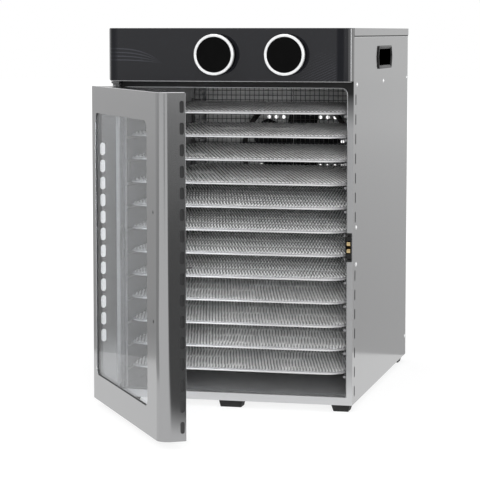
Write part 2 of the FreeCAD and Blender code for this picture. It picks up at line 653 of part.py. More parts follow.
def make_fan_motor():
    """Laminated stack with a round housing each side, bored for the shaft."""
    half = MOTOR_SIZE / 2
    square = rounded_outline(FAN_X - half, FAN_X + half, FAN_Z - half, FAN_Z + half, (MOTOR_CORNER,) * 4)
    stack = slab_y(square, MOTOR_Y + MOTOR_CAP, MOTOR_BACK - MOTOR_CAP)
    round_part = rod(V(FAN_X, MOTOR_Y, FAN_Z), V(FAN_X, MOTOR_BACK, FAN_Z), MOTOR_ROUND)
    bore = rod(V(FAN_X, MOTOR_Y - OVER, FAN_Z), V(FAN_X, MOTOR_BACK - SHAFT_STOP + SLIP, FAN_Z),
               SHAFT_RADIUS + SHAFT_CLEARANCE)
    return [join([stack, round_part]).cut(bore)]


def make_motor_bracket():
    """Strap behind the motor, with a leg at each end standing on the back panel."""
    half = BRACKET_WIDTH / 2
    strap = box(FAN_X - BRACKET_LEG, FAN_X + BRACKET_LEG, MOTOR_BACK, BACK, FAN_Z - half, FAN_Z + half)
    inside = BRACKET_LEG - STRAP
    room = box(FAN_X - inside, FAN_X + inside, MOTOR_BACK + STRAP, BACK + OVER,
               FAN_Z - half - OVER, FAN_Z + half + OVER)
    return [strap.cut(room)]


def make_heating_element():
    """Round tube heater, open at the bottom, with two legs through the back panel."""
    centre = V(FAN_X, HEATER_Y, FAN_Z)
    half_gap = math.degrees(math.asin(HEATER_LEGS / HEATER_RADIUS))
    ring = Part.makeTorus(HEATER_RADIUS, HEATER_TUBE, V(0, 0, 0), Z, -180, 180, 360 - 2 * half_gap)
    ring.rotate(V(0, 0, 0), X, 90)
    ring.rotate(V(0, 0, 0), Y, -(90 + half_gap))
    ring.translate(centre)
    legs = [heater_leg(side, HEATER_Y, DEPTH + HEATER_STUB) for side in (-1, 1)]
    elbows = [Part.makeSphere(HEATER_TUBE, V(FAN_X + side * HEATER_LEGS, HEATER_Y, heater_leg_z()))
              for side in (-1, 1)]
    return [join([ring] + legs + elbows)]


def make_thermal_cutout():
    place = V(FAN_X + CUTOUT_X, BACK - CUTOUT_TO_BACK, CEILING)
    steps = (CUTOUT_FLANGE, CUTOUT_BODY)
    return [join([rod(place, place + Z * height, radius) for radius, height in steps])]


# ---------------------------------------------------------------- controls
def make_control_fascia():
    """Glossy moulding with rounded upright edges, open at the back, bored for two dial stems."""
    x = SIDE + FASCIA_OVERHANG
    r = FASCIA_RADIUS
    outer = slab_z(rounded_outline(-x, x, -FASCIA_DEPTH, 0, (r, r, 0, 0)), FASCIA_Z0, TOP)
    w = FASCIA_WALL
    inner = slab_z(rounded_outline(-x + w, x - w, -FASCIA_DEPTH + w, OVER, (r - w, r - w, 0, 0)),
                   FASCIA_Z0 + w, TOP - w)
    stems = [rod(V(dial_x, -FASCIA_DEPTH - OVER, DIAL_Z), V(dial_x, 0, DIAL_Z), STEM_RADIUS + STEM_HOLE)
             for dial_x in DIAL_X]
    return [cut(outer, [inner] + stems)]


def make_controls_bracket():
    """Plate behind the front plate that carries the timer and the thermostat."""
    reach = CONTROL_SIZE / 2 + PLATE_END
    half = CONTROL_SIZE / 2 + PLATE_MARGIN
    bores = [circle(dial_x, DIAL_Z, BUSH_OUTSIDE) for dial_x in DIAL_X]
    outline = rounded_outline(DIAL_X[0] - reach, DIAL_X[1] + reach, DIAL_Z - half, DIAL_Z + half,
                              (PLATE_CORNER,) * 4)
    return [slab_y(outline, SHEET, SHEET + PLATE, bores)]


def control_body(dial_x):
    """Switch body with a threaded bush that passes through the bracket and the front plate."""
    half = CONTROL_SIZE / 2
    y0 = SHEET + PLATE
    square = rounded_outline(dial_x - half, dial_x + half, DIAL_Z - half, DIAL_Z + half,
                             (CONTROL_CORNER,) * 4)
    body = slab_y(square, y0, y0 + CONTROL_DEPTH)
    bush = rod(V(dial_x, -BUSH_FRONT, DIAL_Z), V(dial_x, y0 + STEM_STOP, DIAL_Z), BUSH_OUTSIDE)
    bore = rod(V(dial_x, -BUSH_FRONT - OVER, DIAL_Z), V(dial_x, y0 + CONTROL_DEPTH - STEM_STOP, DIAL_Z),
               STEM_BORE)
    return [join([body, bush]).cut(bore)]


def dial(dial_x):
    """Dial body with its stem, and the bright ring round its face."""
    back = -FASCIA_DEPTH - DIAL_GAP
    front = back - DIAL_LENGTH
    collar = front + RING_DEPTH
    skirt = frustum(V(dial_x, back, DIAL_Z), V(dial_x, collar, DIAL_Z), DIAL_BACK_RADIUS, DIAL_WAIST_RADIUS)
    face = rod(V(dial_x, collar, DIAL_Z), V(dial_x, front + FACE_SINK, DIAL_Z), DIAL_FACE_RADIUS)
    stem = rod(V(dial_x, back, DIAL_Z), V(dial_x, back + STEM_LENGTH, DIAL_Z), STEM_RADIUS)
    ring = rod(V(dial_x, front, DIAL_Z), V(dial_x, collar, DIAL_Z), DIAL_RADIUS)
    ring = ring.cut(rod(V(dial_x, front - OVER, DIAL_Z), V(dial_x, collar + OVER, DIAL_Z), DIAL_FACE_RADIUS))
    outer_edge = [e for e in ring.Edges if abs(e.BoundBox.YMin - front) < 0.01 and e.BoundBox.YLength < 0.01]
    ring = ring.makeFillet(RING_FILLET, outer_edge)
    return [join([skirt, face, stem])], [ring]


# ---------------------------------------------------------------- handles, inlet, feet
def side_handle():
    """Right carry handle: bowed flange on the panel, a deep pocket behind it."""
    flange = slab_x(handle_outline(HANDLE_LENGTH, HANDLE_HEIGHT, HANDLE_BOW), SIDE, SIDE + HANDLE_FLANGE)
    length, height, deep = HANDLE_POCKET
    wall = HANDLE_WALL
    y0, y1 = HANDLE_Y - length / 2, HANDLE_Y + length / 2
    z0, z1 = HANDLE_Z - height / 2, HANDLE_Z + height / 2
    bottom = SIDE + HANDLE_FLANGE - deep
    plug = slab_x(handle_outline(*HANDLE_HOLE, HANDLE_BOW), SIDE - HANDLE_PLUG, SIDE)
    cup = box(bottom - wall, SIDE, y0 - wall, y1 + wall, z0 - wall, z1 + wall)
    outline = rounded_outline(y0, y1, z0, z1, (HANDLE_POCKET_RADIUS,) * 4)
    pocket = slab_x(outline, bottom, SIDE + HANDLE_FLANGE + OVER)
    return cut(join([flange, plug, cup]), [pocket])


def make_side_handles():
    right = side_handle()
    return [mirror_x(right)], [right]


def make_power_inlet():
    """Appliance inlet: flange outside the back panel, socket with three blades."""
    width, height = INLET_SIZE
    body = box(INLET_X - width / 2, INLET_X + width / 2, DEPTH - INLET_DEPTH, DEPTH + INLET_FLANGE,
               INLET_Z - height / 2, INLET_Z + height / 2)
    lip_x, lip_z = INLET_LIP
    flange = box(INLET_X - width / 2 - lip_x, INLET_X + width / 2 + lip_x, DEPTH, DEPTH + INLET_FLANGE,
                 INLET_Z - height / 2 - lip_z, INLET_Z + height / 2 + lip_z)
    sw, sh, sd = INLET_SOCKET
    mouth = DEPTH + INLET_FLANGE
    socket = slab_y(rounded_outline(INLET_X - sw / 2, INLET_X + sw / 2, INLET_Z - sh / 2, INLET_Z + sh / 2,
                                    INLET_SOCKET_RADII), mouth - sd, mouth + OVER)
    half_x, half_z = INLET_PIN[0] / 2, INLET_PIN[1] / 2
    blades = [box(INLET_X + dx - half_x, INLET_X + dx + half_x, mouth - sd - INLET_PIN_ROOT,
                  mouth - INLET_PIN_SINK, INLET_Z + dz - half_z, INLET_Z + dz + half_z)
              for dx, dz in INLET_PINS]
    return [join([body, flange]).cut(socket).fuse(Part.makeCompound(blades)).removeSplitter()]


def foot_places():
    half = FOOT_TOP / 2
    x, y0, y1 = SIDE - FOOT_INSET_X - half, FOOT_INSET_Y + half, DEPTH - FOOT_INSET_Y - half
    return [(-x, y0), (x, y0), (-x, y1), (x, y1)]


def tapered_block(x, y, top_x, top_y, taper):
    """Block standing on the floor, wider at the top."""
    def ring(width, depth, z):
        w, d = width / 2, depth / 2
        return Part.makePolygon([V(x - w, y - d, z), V(x + w, y - d, z), V(x + w, y + d, z),
                                 V(x - w, y + d, z), V(x - w, y - d, z)])
    return Part.makeLoft([ring(top_x - taper, top_y - taper, 0), ring(top_x, top_y, FOOT_HEIGHT)], True)


def make_corner_feet():
    feet = []
    for x, y in foot_places():
        block = tapered_block(x, y, FOOT_TOP, FOOT_TOP, FOOT_TOP - FOOT_BOTTOM)
        radius, depth = FOOT_RECESS
        feet.append(block.cut(rod(V(x, y, -OVER), V(x, y, depth), radius)))
    return feet


def make_centre_foot():
    width, depth = CENTRE_FOOT
    return [tapered_block(CENTRE_FOOT_X, FOOT_INSET_Y + depth / 2, width, depth, CENTRE_FOOT_TAPER)]


# ---------------------------------------------------------------- roller catch
def make_catch_housing():
    """Channel let into the front plate's right border, open towards the door."""
    x0, x1 = CATCH_X0, CATCH_X0 + CATCH_WIDTH
    z0, z1 = CATCH_Z - CATCH_HEIGHT / 2, CATCH_Z + CATCH_HEIGHT / 2
    block = box(x0, x1, -CATCH_FRONT, CATCH_DEPTH - CATCH_FRONT, z0, z1)
    hollow = box(x0 + CATCH_WALL, x1 - CATCH_WALL, -CATCH_FRONT - OVER,
                 CATCH_DEPTH - CATCH_FRONT - CATCH_WALL, z0 + CATCH_END, z1 - CATCH_END)
    return [block.cut(hollow)]


def catch_arm(side):
    """Sprung fork that carries one roller; side is +1 for the upper one."""
    z = CATCH_Z + side * ROLLER_OFFSET
    far = CATCH_Z + side * (CATCH_HEIGHT / 2 - CATCH_END - CATCH_TRAVEL - SLIP)
    y0, y1 = ROLLER_Y - ARM_NOSE, CATCH_DEPTH - CATCH_FRONT - CATCH_WALL - SLIP
    near = z - side * ARM_NEAR
    low, high = sorted((near, far))
    block = box(CATCH_X - FORK_HALF, CATCH_X + FORK_HALF, y0, y1, low, high)
    inside = FORK_HALF - FORK_WALL
    room_low, room_high = sorted((near - side * OVER, z + side * ARM_ROOM))
    room = box(CATCH_X - inside, CATCH_X + inside, y0 - OVER, y1 - ARM_BACK, room_low, room_high)
    spindle = rod(V(CATCH_X - FORK_HALF, ROLLER_Y, z), V(CATCH_X + FORK_HALF, ROLLER_Y, z), SPINDLE_RADIUS)
    return [join([block.cut(room), spindle])]


def catch_roller(side):
    z = CATCH_Z + side * ROLLER_OFFSET
    half = FORK_HALF - FORK_WALL - ARM_SLIP
    body = rod(V(CATCH_X - half, ROLLER_Y, z), V(CATCH_X + half, ROLLER_Y, z), ROLLER_RADIUS)
    bore = rod(V(CATCH_X - half - OVER, ROLLER_Y, z), V(CATCH_X + half + OVER, ROLLER_Y, z),
               SPINDLE_RADIUS + PIN_CLEARANCE)
    return [body.cut(bore)]


# ---------------------------------------------------------------- hinge
def make_hinge_brackets():
    """Top bracket on the front plate and bottom bracket under the base pan."""
    x0, x1 = -SIDE, HINGE_X + BRACKET_REACH
    y0 = HINGE_Y - BRACKET_NOSE
    bore = rod(V(HINGE_X, HINGE_Y, 0), V(HINGE_X, HINGE_Y, TOP), PIN_RADIUS)
    plate_top = FASCIA_Z0 - BRACKET_UNDER_FASCIA
    plate = box(x0, x1, y0, 0, plate_top - BRACKET, plate_top)
    flange = box(x0, x1, -BRACKET_FLANGE, 0, DOOR_Z1 + DOOR_SHEET, FASCIA_Z0 - SLIP)
    top = join([plate, flange])
    bottom = box(x0, x1, y0, BRACKET_TAIL, BASE - BRACKET, BASE)
    foot_room = box(x0 + FOOT_INSET_X, x1 + OVER, FOOT_INSET_Y, BRACKET_TAIL + OVER,
                    BASE - BRACKET - OVER, BASE + OVER)
    bottom = bottom.cut(foot_room)
    return [top.cut(bore), bottom.cut(bore)]


def make_hinge_pins():
    top_z = FASCIA_Z0 - BRACKET_UNDER_FASCIA
    top = rod(V(HINGE_X, HINGE_Y, DOOR_Z1 - PIN_DEPTH), V(HINGE_X, HINGE_Y, top_z), PIN_RADIUS)
    bottom = rod(V(HINGE_X, HINGE_Y, BASE - BRACKET), V(HINGE_X, HINGE_Y, DOOR_Z0 + PIN_DEPTH), PIN_RADIUS)
    return [top, bottom]


# ---------------------------------------------------------------- door, modelled closed
def window_outline(grow=0.0):
    r = WINDOW_RADIUS + grow
    return rounded_outline(WINDOW_X0 - grow, WINDOW_X1 + grow, WINDOW_Z0 - grow, WINDOW_Z1 + grow, (r,) * 4)


def handle_holes():
    return [(SIDE - HANDLE_HOLE_X, DOOR_MIDDLE + side * HANDLE_SPACING / 2) for side in (-1, 1)]


def make_door_skin():
    """Stainless pan, open towards the chamber, with a narrow lip on three edges, relieved at the bushes."""
    r, t = DOOR_RADIUS, DOOR_SHEET
    folds = (SKIN_FOLD, r, SKIN_LIP_FOLD, 0)
    outer = slab_z(rounded_outline(-SIDE, SIDE, DOOR_FRONT, DOOR_BACK, folds), DOOR_Z0, DOOR_Z1)
    inside_folds = (SKIN_FOLD - t, r - t, 0, 0)
    inner = slab_z(rounded_outline(-SIDE + t, SIDE - t, SKIN_BACK, DOOR_BACK - t, inside_folds),
                   DOOR_Z0 + t, DOOR_Z1 - t)
    lip = DOOR_BACK_LIP
    mouth = box(-SIDE + t, SIDE - lip, DOOR_BACK - t - OVER, DOOR_BACK + OVER, DOOR_Z0 + lip, DOOR_Z1 - lip)
    relief = box(-SIDE + t, HINGE_X + BUSH_RADIUS + OVER, DOOR_BACK - t - OVER, DOOR_BACK + OVER,
                 DOOR_Z0 + t, DOOR_Z1 - t)
    window = slab_y(window_outline(), DOOR_FRONT - OVER, SKIN_BACK + OVER)
    slot_y = DOOR_BACK - SLOT_FROM_BACK
    free_slots = [slab_x(slot(slot_y, z, SLOT_WIDTH, SLOT_LENGTH), SIDE - t - OVER, SIDE + OVER)
                  for z in slot_heights()]
    lowest, highest = DOOR_Z0 + HINGE_SLOT_MARGIN, DOOR_Z1 - HINGE_SLOT_MARGIN
    hinge_slots = []
    for i in range(HINGE_SLOT_COUNT):
        z = lowest + (highest - lowest) * i / (HINGE_SLOT_COUNT - 1)
        outline = slot(DOOR_FRONT + HINGE_SLOT_FROM_FRONT, z, HINGE_SLOT_WIDTH, HINGE_SLOT_LENGTH)
        hinge_slots.append(slab_x(outline, -SIDE - OVER, -SIDE + t + OVER))
    holes = [rod(V(x, DOOR_FRONT - OVER, z), V(x, SKIN_BACK + OVER, z), HANDLE_BORE)
             for x, z in handle_holes()]
    bushes = [rod(V(HINGE_X, HINGE_Y, DOOR_Z0 - OVER), V(HINGE_X, HINGE_Y, DOOR_Z1 + OVER), BUSH_RADIUS)]
    notch = box(CATCH_X0 - NOTCH_LEFT, CATCH_X0 + CATCH_WIDTH - NOTCH_RIGHT, DOOR_BACK - t - OVER,
                DOOR_BACK + OVER, CATCH_Z - STRIKE_THICK, CATCH_Z + STRIKE_THICK)
    return [cut(outer, [inner, mouth, relief, window, notch] + free_slots + hinge_slots + holes + bushes)]


def make_glass_seal():
    return [slab_y(window_outline(GLASS_OVERLAP), SKIN_BACK, GLASS_Y0, [window_outline()])]


def make_door_glass():
    return [slab_y(window_outline(GLASS_OVERLAP), GLASS_Y0, GLASS_Y0 + GLASS)]


def make_glass_retainer():
    """Folded frame that holds the glass against the skin; its outer wall stands on the skin."""
    gap = GLASS_OVERLAP + SLIP
    back = GLASS_Y0 + GLASS
    wall = slab_y(window_outline(gap + RETAINER), SKIN_BACK, back + RETAINER, [window_outline(gap)])
    face = slab_y(window_outline(gap + RETAINER), back, back + RETAINER, [window_outline(RETAINER_REVEAL)])
    return [join([wall, face])]


def make_door_strike():
    """Tongue that runs between the catch rollers, on a base behind the door's lip."""
    base_y = DOOR_BACK - DOOR_SHEET
    width, thick, height = STRIKE_BASE
    base = box(CATCH_X - width / 2, CATCH_X + width / 2, base_y - thick, base_y,
               CATCH_Z - height / 2, CATCH_Z + height / 2)
    tongue = box(CATCH_X - STRIKE_LEFT, CATCH_X + STRIKE_RIGHT, base_y - thick, DOOR_BACK + STRIKE_REACH,
                 CATCH_Z - STRIKE_THICK / 2, CATCH_Z + STRIKE_THICK / 2)
    return [join([base, tongue])]


def make_rivet_nuts():
    radius, length = RIVET_NUT
    return [rod(V(x, SKIN_BACK, z), V(x, SKIN_BACK + length, z), radius)
            .cut(rod(V(x, SKIN_BACK - OVER, z), V(x, SKIN_BACK + length + OVER, z), HANDLE_BORE))
            for x, z in handle_holes()]


def make_hinge_bushes():
    """Flanged bushes in the door's top and bottom flanges."""
    bore = rod(V(HINGE_X, HINGE_Y, 0), V(HINGE_X, HINGE_Y, TOP), PIN_RADIUS + PIN_CLEARANCE)
    bushes = []
    for outer, inward in ((DOOR_Z1, -1), (DOOR_Z0, 1)):
        axis = V(HINGE_X, HINGE_Y, outer)
        sleeve = rod(axis, axis + Z * inward * (PIN_DEPTH + BUSH_TAIL), BUSH_RADIUS)
        collar = rod(axis + Z * inward * DOOR_SHEET, axis + Z * inward * (DOOR_SHEET + BUSH_HEAD),
                     BUSH_RADIUS + BUSH_COLLAR)
        bushes.append(join([sleeve, collar]).cut(bore))
    return bushes


def open_door(pieces):
    """Turn pieces of the closed door about the hinge to where the door stands."""
    for piece in pieces:
        piece.rotate(V(HINGE_X, HINGE_Y, 0), Z, -DOOR_OPEN)
    return pieces


# ---------------------------------------------------------------- the whole object
def build():
    """Every node's solids, by name."""
    nodes = {}
    nodes["base_pan"] = make_base_pan()
    nodes["side_panel_left"], nodes["side_panel_right"] = make_side_panels()
    nodes["back_panel"] = make_back_panel()
    nodes["top_cover"] = make_top_cover()
    nodes["front_frame"] = make_front_frame()
    nodes["liner_left"], nodes["liner_right"] = make_liners()
    nodes["liner_ceiling"] = make_liner_ceiling()
    nodes["chamber_floor"] = make_chamber_floor()
    nodes["fan_guard"] = make_fan_guard()
    nodes["tray_rack_left"], nodes["tray_rack_right"] = make_tray_racks()
    nodes["control_fascia"] = make_control_fascia()
    nodes["controls_bracket"] = make_controls_bracket()
    nodes["timer"], nodes["thermostat"] = (control_body(x) for x in DIAL_X)
    nodes["fan_motor"] = make_fan_motor()
    nodes["motor_bracket"] = make_motor_bracket()
    nodes["heating_element"] = make_heating_element()
    nodes["thermal_cutout"] = make_thermal_cutout()
    nodes["side_handle_left"], nodes["side_handle_right"] = make_side_handles()
    nodes["power_inlet"] = make_power_inlet()
    nodes["catch_housing"] = make_catch_housing()
    nodes["hinge_brackets"] = make_hinge_brackets()
    nodes["hinge_pins"] = make_hinge_pins()
    nodes["corner_feet"] = make_corner_feet()
    nodes["centre_foot"] = make_centre_foot()
    nodes["panel_screws"] = make_panel_screws()

    nodes["door_skin"] = open_door(make_door_skin())
    nodes["door_glass"] = open_door(make_door_glass())
    nodes["glass_seal"] = open_door(make_glass_seal())
    nodes["glass_retainer"] = open_door(make_glass_retainer())
    nodes["door_strike"] = open_door(make_door_strike())
    nodes["handle_rivet_nuts"] = open_door(make_rivet_nuts())
    nodes["hinge_bushes"] = open_door(make_hinge_bushes())

    nodes["fan_blade"] = make_fan_blade()
    nodes["fan_shaft"] = make_fan_shaft()
    nodes["fan_nut"] = make_fan_nut()
    for name, dial_x in zip(("timer", "thermostat"), DIAL_X):
        nodes[name + "_dial"], nodes[name + "_dial_ring"] = dial(dial_x)
    for name, side in (("upper", 1), ("lower", -1)):
        nodes["catch_arm_" + name] = catch_arm(side)
        nodes["catch_roller_" + name] = catch_roller(side)
    for index in range(TRAY_COUNT):
        nodes["tray_%02d" % (index + 1)] = make_tray(index)
    return nodes


def main():
    os.makedirs("parts", exist_ok=True)
    for name, solids in build().items():
        shape = solids[0] if len(solids) == 1 else Part.makeCompound(solids)
        shape = shape.copy()
        shape.translate(ORIGIN_SHIFT)
        shape.exportStep("parts/" + name + ".step")


main()
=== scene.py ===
import json
import math
import bmesh
import bpy
from mathutils import Matrix, Vector

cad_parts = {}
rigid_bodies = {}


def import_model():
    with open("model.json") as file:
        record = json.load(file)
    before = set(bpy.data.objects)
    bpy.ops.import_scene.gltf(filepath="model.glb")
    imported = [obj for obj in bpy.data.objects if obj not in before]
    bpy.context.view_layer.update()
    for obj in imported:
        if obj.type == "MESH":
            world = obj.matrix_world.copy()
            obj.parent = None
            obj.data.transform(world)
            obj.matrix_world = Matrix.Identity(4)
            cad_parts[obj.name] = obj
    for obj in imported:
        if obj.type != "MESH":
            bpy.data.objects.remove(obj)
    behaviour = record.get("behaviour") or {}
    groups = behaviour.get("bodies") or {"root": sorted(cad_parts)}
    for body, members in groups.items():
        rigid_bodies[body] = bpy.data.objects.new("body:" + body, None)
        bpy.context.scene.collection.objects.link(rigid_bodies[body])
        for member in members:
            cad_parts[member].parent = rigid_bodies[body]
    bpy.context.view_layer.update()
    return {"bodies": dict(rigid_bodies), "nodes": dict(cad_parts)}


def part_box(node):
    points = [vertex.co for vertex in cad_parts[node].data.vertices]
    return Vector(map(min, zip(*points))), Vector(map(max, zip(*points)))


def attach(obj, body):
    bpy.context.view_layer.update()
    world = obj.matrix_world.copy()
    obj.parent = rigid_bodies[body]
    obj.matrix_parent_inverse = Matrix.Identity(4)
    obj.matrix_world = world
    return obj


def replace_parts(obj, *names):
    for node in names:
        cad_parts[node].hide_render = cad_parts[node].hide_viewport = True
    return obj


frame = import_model()

MM = 0.001
nodes = frame["nodes"]


# ---------------------------------------------------------------- camera, lamps, floor and backdrop
LENS, SENSOR = 152.86, 36.0                    # both in millimetres
CAMERA_PLACE = (0.69029, -2.86249, 0.5318)
LOOKS_DOWN, LOOKS_LEFT = 5.8415, 13.5174       # degrees


def place_camera():
    data = bpy.data.cameras.new("camera")
    data.lens, data.sensor_width = LENS, SENSOR
    data.clip_start, data.clip_end = 0.1, 60.0
    camera = bpy.data.objects.new("camera", data)
    camera.location = CAMERA_PLACE
    camera.rotation_euler = (math.radians(90 - LOOKS_DOWN), 0.0, math.radians(LOOKS_LEFT))
    bpy.context.scene.collection.objects.link(camera)
    bpy.context.scene.camera = camera


def softbox(name, place, aim, size, watts, mirrored=True):
    """A rectangular studio lamp that faces a point, and that shiny things may or may not show."""
    data = bpy.data.lights.new(name, "AREA")
    data.shape = "RECTANGLE"
    data.size, data.size_y = size
    data.energy = watts
    lamp = bpy.data.objects.new(name, data)
    lamp.location = place
    lamp.rotation_euler = (Vector(aim) - Vector(place)).to_track_quat("-Z", "Y").to_euler()
    lamp.visible_camera = False
    lamp.visible_glossy = mirrored
    bpy.context.scene.collection.objects.link(lamp)


# ---------------------------------------------------------------- building finishes from nodes
class Value:
    """The output of a node, which can be reckoned with like a number."""

    def __init__(self, finish, socket):
        self.finish, self.socket = finish, socket

    def reckon(self, operation, first, second):
        return self.finish.node("ShaderNodeMath", {"operation": operation}, {0: first, 1: second})

    def __add__(self, other):
        return self.reckon("ADD", self, other)

    def __radd__(self, other):
        return self.reckon("ADD", other, self)

    def __sub__(self, other):
        return self.reckon("SUBTRACT", self, other)

    def __rsub__(self, other):
        return self.reckon("SUBTRACT", other, self)

    def __mul__(self, other):
        return self.reckon("MULTIPLY", self, other)

    def __rmul__(self, other):
        return self.reckon("MULTIPLY", other, self)

    def __truediv__(self, other):
        return self.reckon("DIVIDE", self, other)

    def __gt__(self, other):
        return self.reckon("GREATER_THAN", self, other)

    def __lt__(self, other):
        return self.reckon("LESS_THAN", self, other)


class Finish:
    """A node tree and the few ways in which this object's finishes add nodes to it."""

    def __init__(self, tree):
        self.tree = tree
        tree.nodes.clear()

    def node(self, kind, settings=None, inputs=None, output=0):
        made = self.tree.nodes.new(kind)
        for key, value in (settings or {}).items():
            setattr(made, key, value)
        for key, value in (inputs or {}).items():
            if isinstance(value, Value):
                self.tree.links.new(value.socket, made.inputs[key])
            else:
                made.inputs[key].default_value = value
        return Value(self, made.outputs[output])

    def spot(self, scale=(1.0, 1.0, 1.0), centre=(0.0, 0.0, 0.0)):
        """Object coordinates, centred and scaled."""
        where = self.node("ShaderNodeTexCoord", None, None, "Object")
        return self.node("ShaderNodeMapping", {"vector_type": "TEXTURE"}, {
            "Vector": where, "Location": centre, "Scale": [1.0 / s for s in scale]})

    def axes(self, vector):
        """The three parts of a vector, each as a value."""
        made = self.node("ShaderNodeSeparateXYZ", None, {0: vector})
        return [Value(self, socket) for socket in made.socket.node.outputs]

    def ray_is(self, *kinds):
        """Whether a ray is of each kind, as values."""
        found = self.node("ShaderNodeLightPath").socket.node.outputs
        return [Value(self, found["Is %s Ray" % kind]) for kind in kinds]

    def cosine(self, angle):
        return self.node("ShaderNodeMath", {"operation": "COSINE"}, {0: angle})

    def larger(self, first, second):
        return self.node("ShaderNodeMath", {"operation": "MAXIMUM"}, {0: first, 1: second})

    def noise(self, vector, scale, detail=2.0, rough=0.5):
        return self.node("ShaderNodeTexNoise", None, {
            "Vector": vector, "Scale": scale, "Detail": detail, "Roughness": rough})

    def between(self, value, low, high, at_low, at_high):
        """A value that runs from one level to another between two limits, and no further."""
        return self.node("ShaderNodeMapRange", None, {
            0: value, 1: low, 2: high, 3: at_low, 4: at_high})

    def mixed(self, factor, first, second):
        """Two colours mixed."""
        return self.node("ShaderNodeMix", {"data_type": "RGBA"}, {0: factor, 6: first, 7: second}, 2)

    def bump(self, height, distance, strength=1.0):
        return self.node("ShaderNodeBump", None, {
            "Height": height, "Distance": distance, "Strength": strength})

    def surface(self, shader):
        self.node_out("ShaderNodeOutputMaterial", shader)

    def node_out(self, kind, shader):
        made = self.tree.nodes.new(kind)
        self.tree.links.new(shader.socket, made.inputs["Surface"])


def new_finish(name):
    """A new material and the finish that builds its nodes."""
    material = bpy.data.materials.new(name)
    material.use_nodes = True
    return material, Finish(material.node_tree)


def rgb(grey, tint=(1.0, 1.0, 1.0)):
    """A grey as a colour, with a tint."""
    return (grey * tint[0], grey * tint[1], grey * tint[2], 1.0)


STEEL_TINT = (0.992, 0.997, 1.008)
STEEL_PLAY = 0.05                              # how far its grey wanders, as a share
GRAIN_FINE, GRAIN_LONG = 1400.0, 14.0          # grain lines to the metre, across and along
PANEL_GREY, PANEL_ROUGH = 0.50, 0.13


def steel_shade(f, grey, along):
    """The fine grain of brushed steel along one axis, its faint clouding, and the colour they give it."""
    stretch = [GRAIN_LONG if axis == along else GRAIN_FINE for axis in "xyz"]
    grain = f.noise(f.spot(stretch), 1.0, 2.0, 0.6)
    cloud = f.noise(f.spot(), 9.0, 3.0, 0.55)
    shade = f.mixed(grain * 0.6 + cloud * 0.4, rgb(grey * (1 - STEEL_PLAY), STEEL_TINT),
                    rgb(grey * (1 + STEEL_PLAY), STEEL_TINT))
    return grain, cloud, shade


def brushed_steel(name, grey, roughness, along, metal=1.0, heights=()):
    """Brushed steel, its grey changing with height if asked."""
    material, f = new_finish(name)
    grain, cloud, shade = steel_shade(f, grey, along)
    for low, high, level in heights:
        height = f.axes(f.spot())[2]
        shade = f.mixed(f.between(height, low, high, 0.0, 1.0), shade, rgb(level, STEEL_TINT))
    rough = roughness * (0.8 + grain * 0.25 + cloud * 0.15)
    f.surface(f.node("ShaderNodeBsdfPrincipled", None, {
        "Base Color": shade, "Metallic": metal, "Roughness": rough,
        "Normal": f.bump(grain, 0.00001, 0.35)}))
    return material


def backed_steel(name, inner_face):
    """Panel steel outside; its face towards the inside is painted pale and matt, painted light that makes the
    chamber's back wall show lit.
    """
    material, f = new_finish(name)
    inside = f.axes(f.spot())[1] < inner_face
    grain, cloud, outer = steel_shade(f, PANEL_GREY, "z")
    # Painted light: the inner face is painted pale and matt, so the chamber's back wall shows lit.
    inner = f.mixed(cloud, rgb(0.86), rgb(0.96))
    f.surface(f.node("ShaderNodeBsdfPrincipled", None, {
        "Base Color": f.mixed(inside, outer, inner), "Metallic": 1.0 - inside * 0.9,
        "Roughness": PANEL_ROUGH + grain * 0.03 + inside * 0.4}))
    return material


def zinc_steel(name):
    """Galvanised sheet with its crystals."""
    material, f = new_finish(name)
    crystals = f.node("ShaderNodeTexVoronoi", None, {"Vector": f.spot(), "Scale": 70.0}, "Color")
    tone = f.node("ShaderNodeRGBToBW", None, {0: crystals})
    cloud = f.noise(f.spot(), 12.0)
    f.surface(f.node("ShaderNodeBsdfPrincipled", None, {
        "Base Color": f.mixed(tone * 0.7 + cloud * 0.3, (0.40, 0.41, 0.42, 1), (0.56, 0.57, 0.58, 1)),
        "Metallic": 1.0, "Roughness": 0.32 + tone * 0.16}))
    return material


def bright_metal(name, colour, roughness, wear=0.06, metal=1.0):
    """Drawn or plated metal: an even colour with fine marks in its polish."""
    material, f = new_finish(name)
    marks = f.noise(f.spot(), 160.0, 3.0, 0.6)
    deep = [c * (1 - 2 * wear) for c in colour] + [1.0]
    f.surface(f.node("ShaderNodeBsdfPrincipled", None, {
        "Base Color": f.mixed(marks, deep, list(colour) + [1.0]),
        "Metallic": metal, "Roughness": roughness * (0.75 + marks * 0.5)}))
    return material


def moulding(name, grey, roughness, grain=0.00004, scale=900.0, shine=0.5):
    """Moulded plastic or rubber with a fine surface texture."""
    material, f = new_finish(name)
    pebble = f.noise(f.spot(), scale, 2.0, 0.5)
    dust = f.noise(f.spot(), 25.0, 3.0, 0.6)
    f.surface(f.node("ShaderNodeBsdfPrincipled", None, {
        "Base Color": f.mixed(dust, rgb(grey * 0.8), rgb(grey * 1.25)),
        "Roughness": roughness * (0.85 + pebble * 0.3), "Specular IOR Level": shine,
        "Normal": f.bump(pebble, grain)}))
    return material


GLASS_TINT = (0.74, 0.76, 0.78, 1.0)


def clear_glass(name):
    """Tinted flat glass with a bright polish, which lets the lamps through."""
    material, f = new_finish(name)
    smear = f.noise(f.spot((1.0, 1.0, 0.4)), 7.0, 3.0, 0.6)
    pane = f.node("ShaderNodeBsdfPrincipled", None, {
        "Base Color": GLASS_TINT, "Transmission Weight": 1.0, "IOR": 1.02,
        "Coat Weight": 0.72, "Coat IOR": 1.62, "Coat Roughness": 0.0,
        "Roughness": smear * 0.012})
    clear = f.node("ShaderNodeBsdfTransparent", None, {"Color": GLASS_TINT})
    shadow, = f.ray_is("Shadow")
    f.surface(f.node("ShaderNodeMixShader", None, {0: shadow, 1: pane, 2: clear}))
    return material


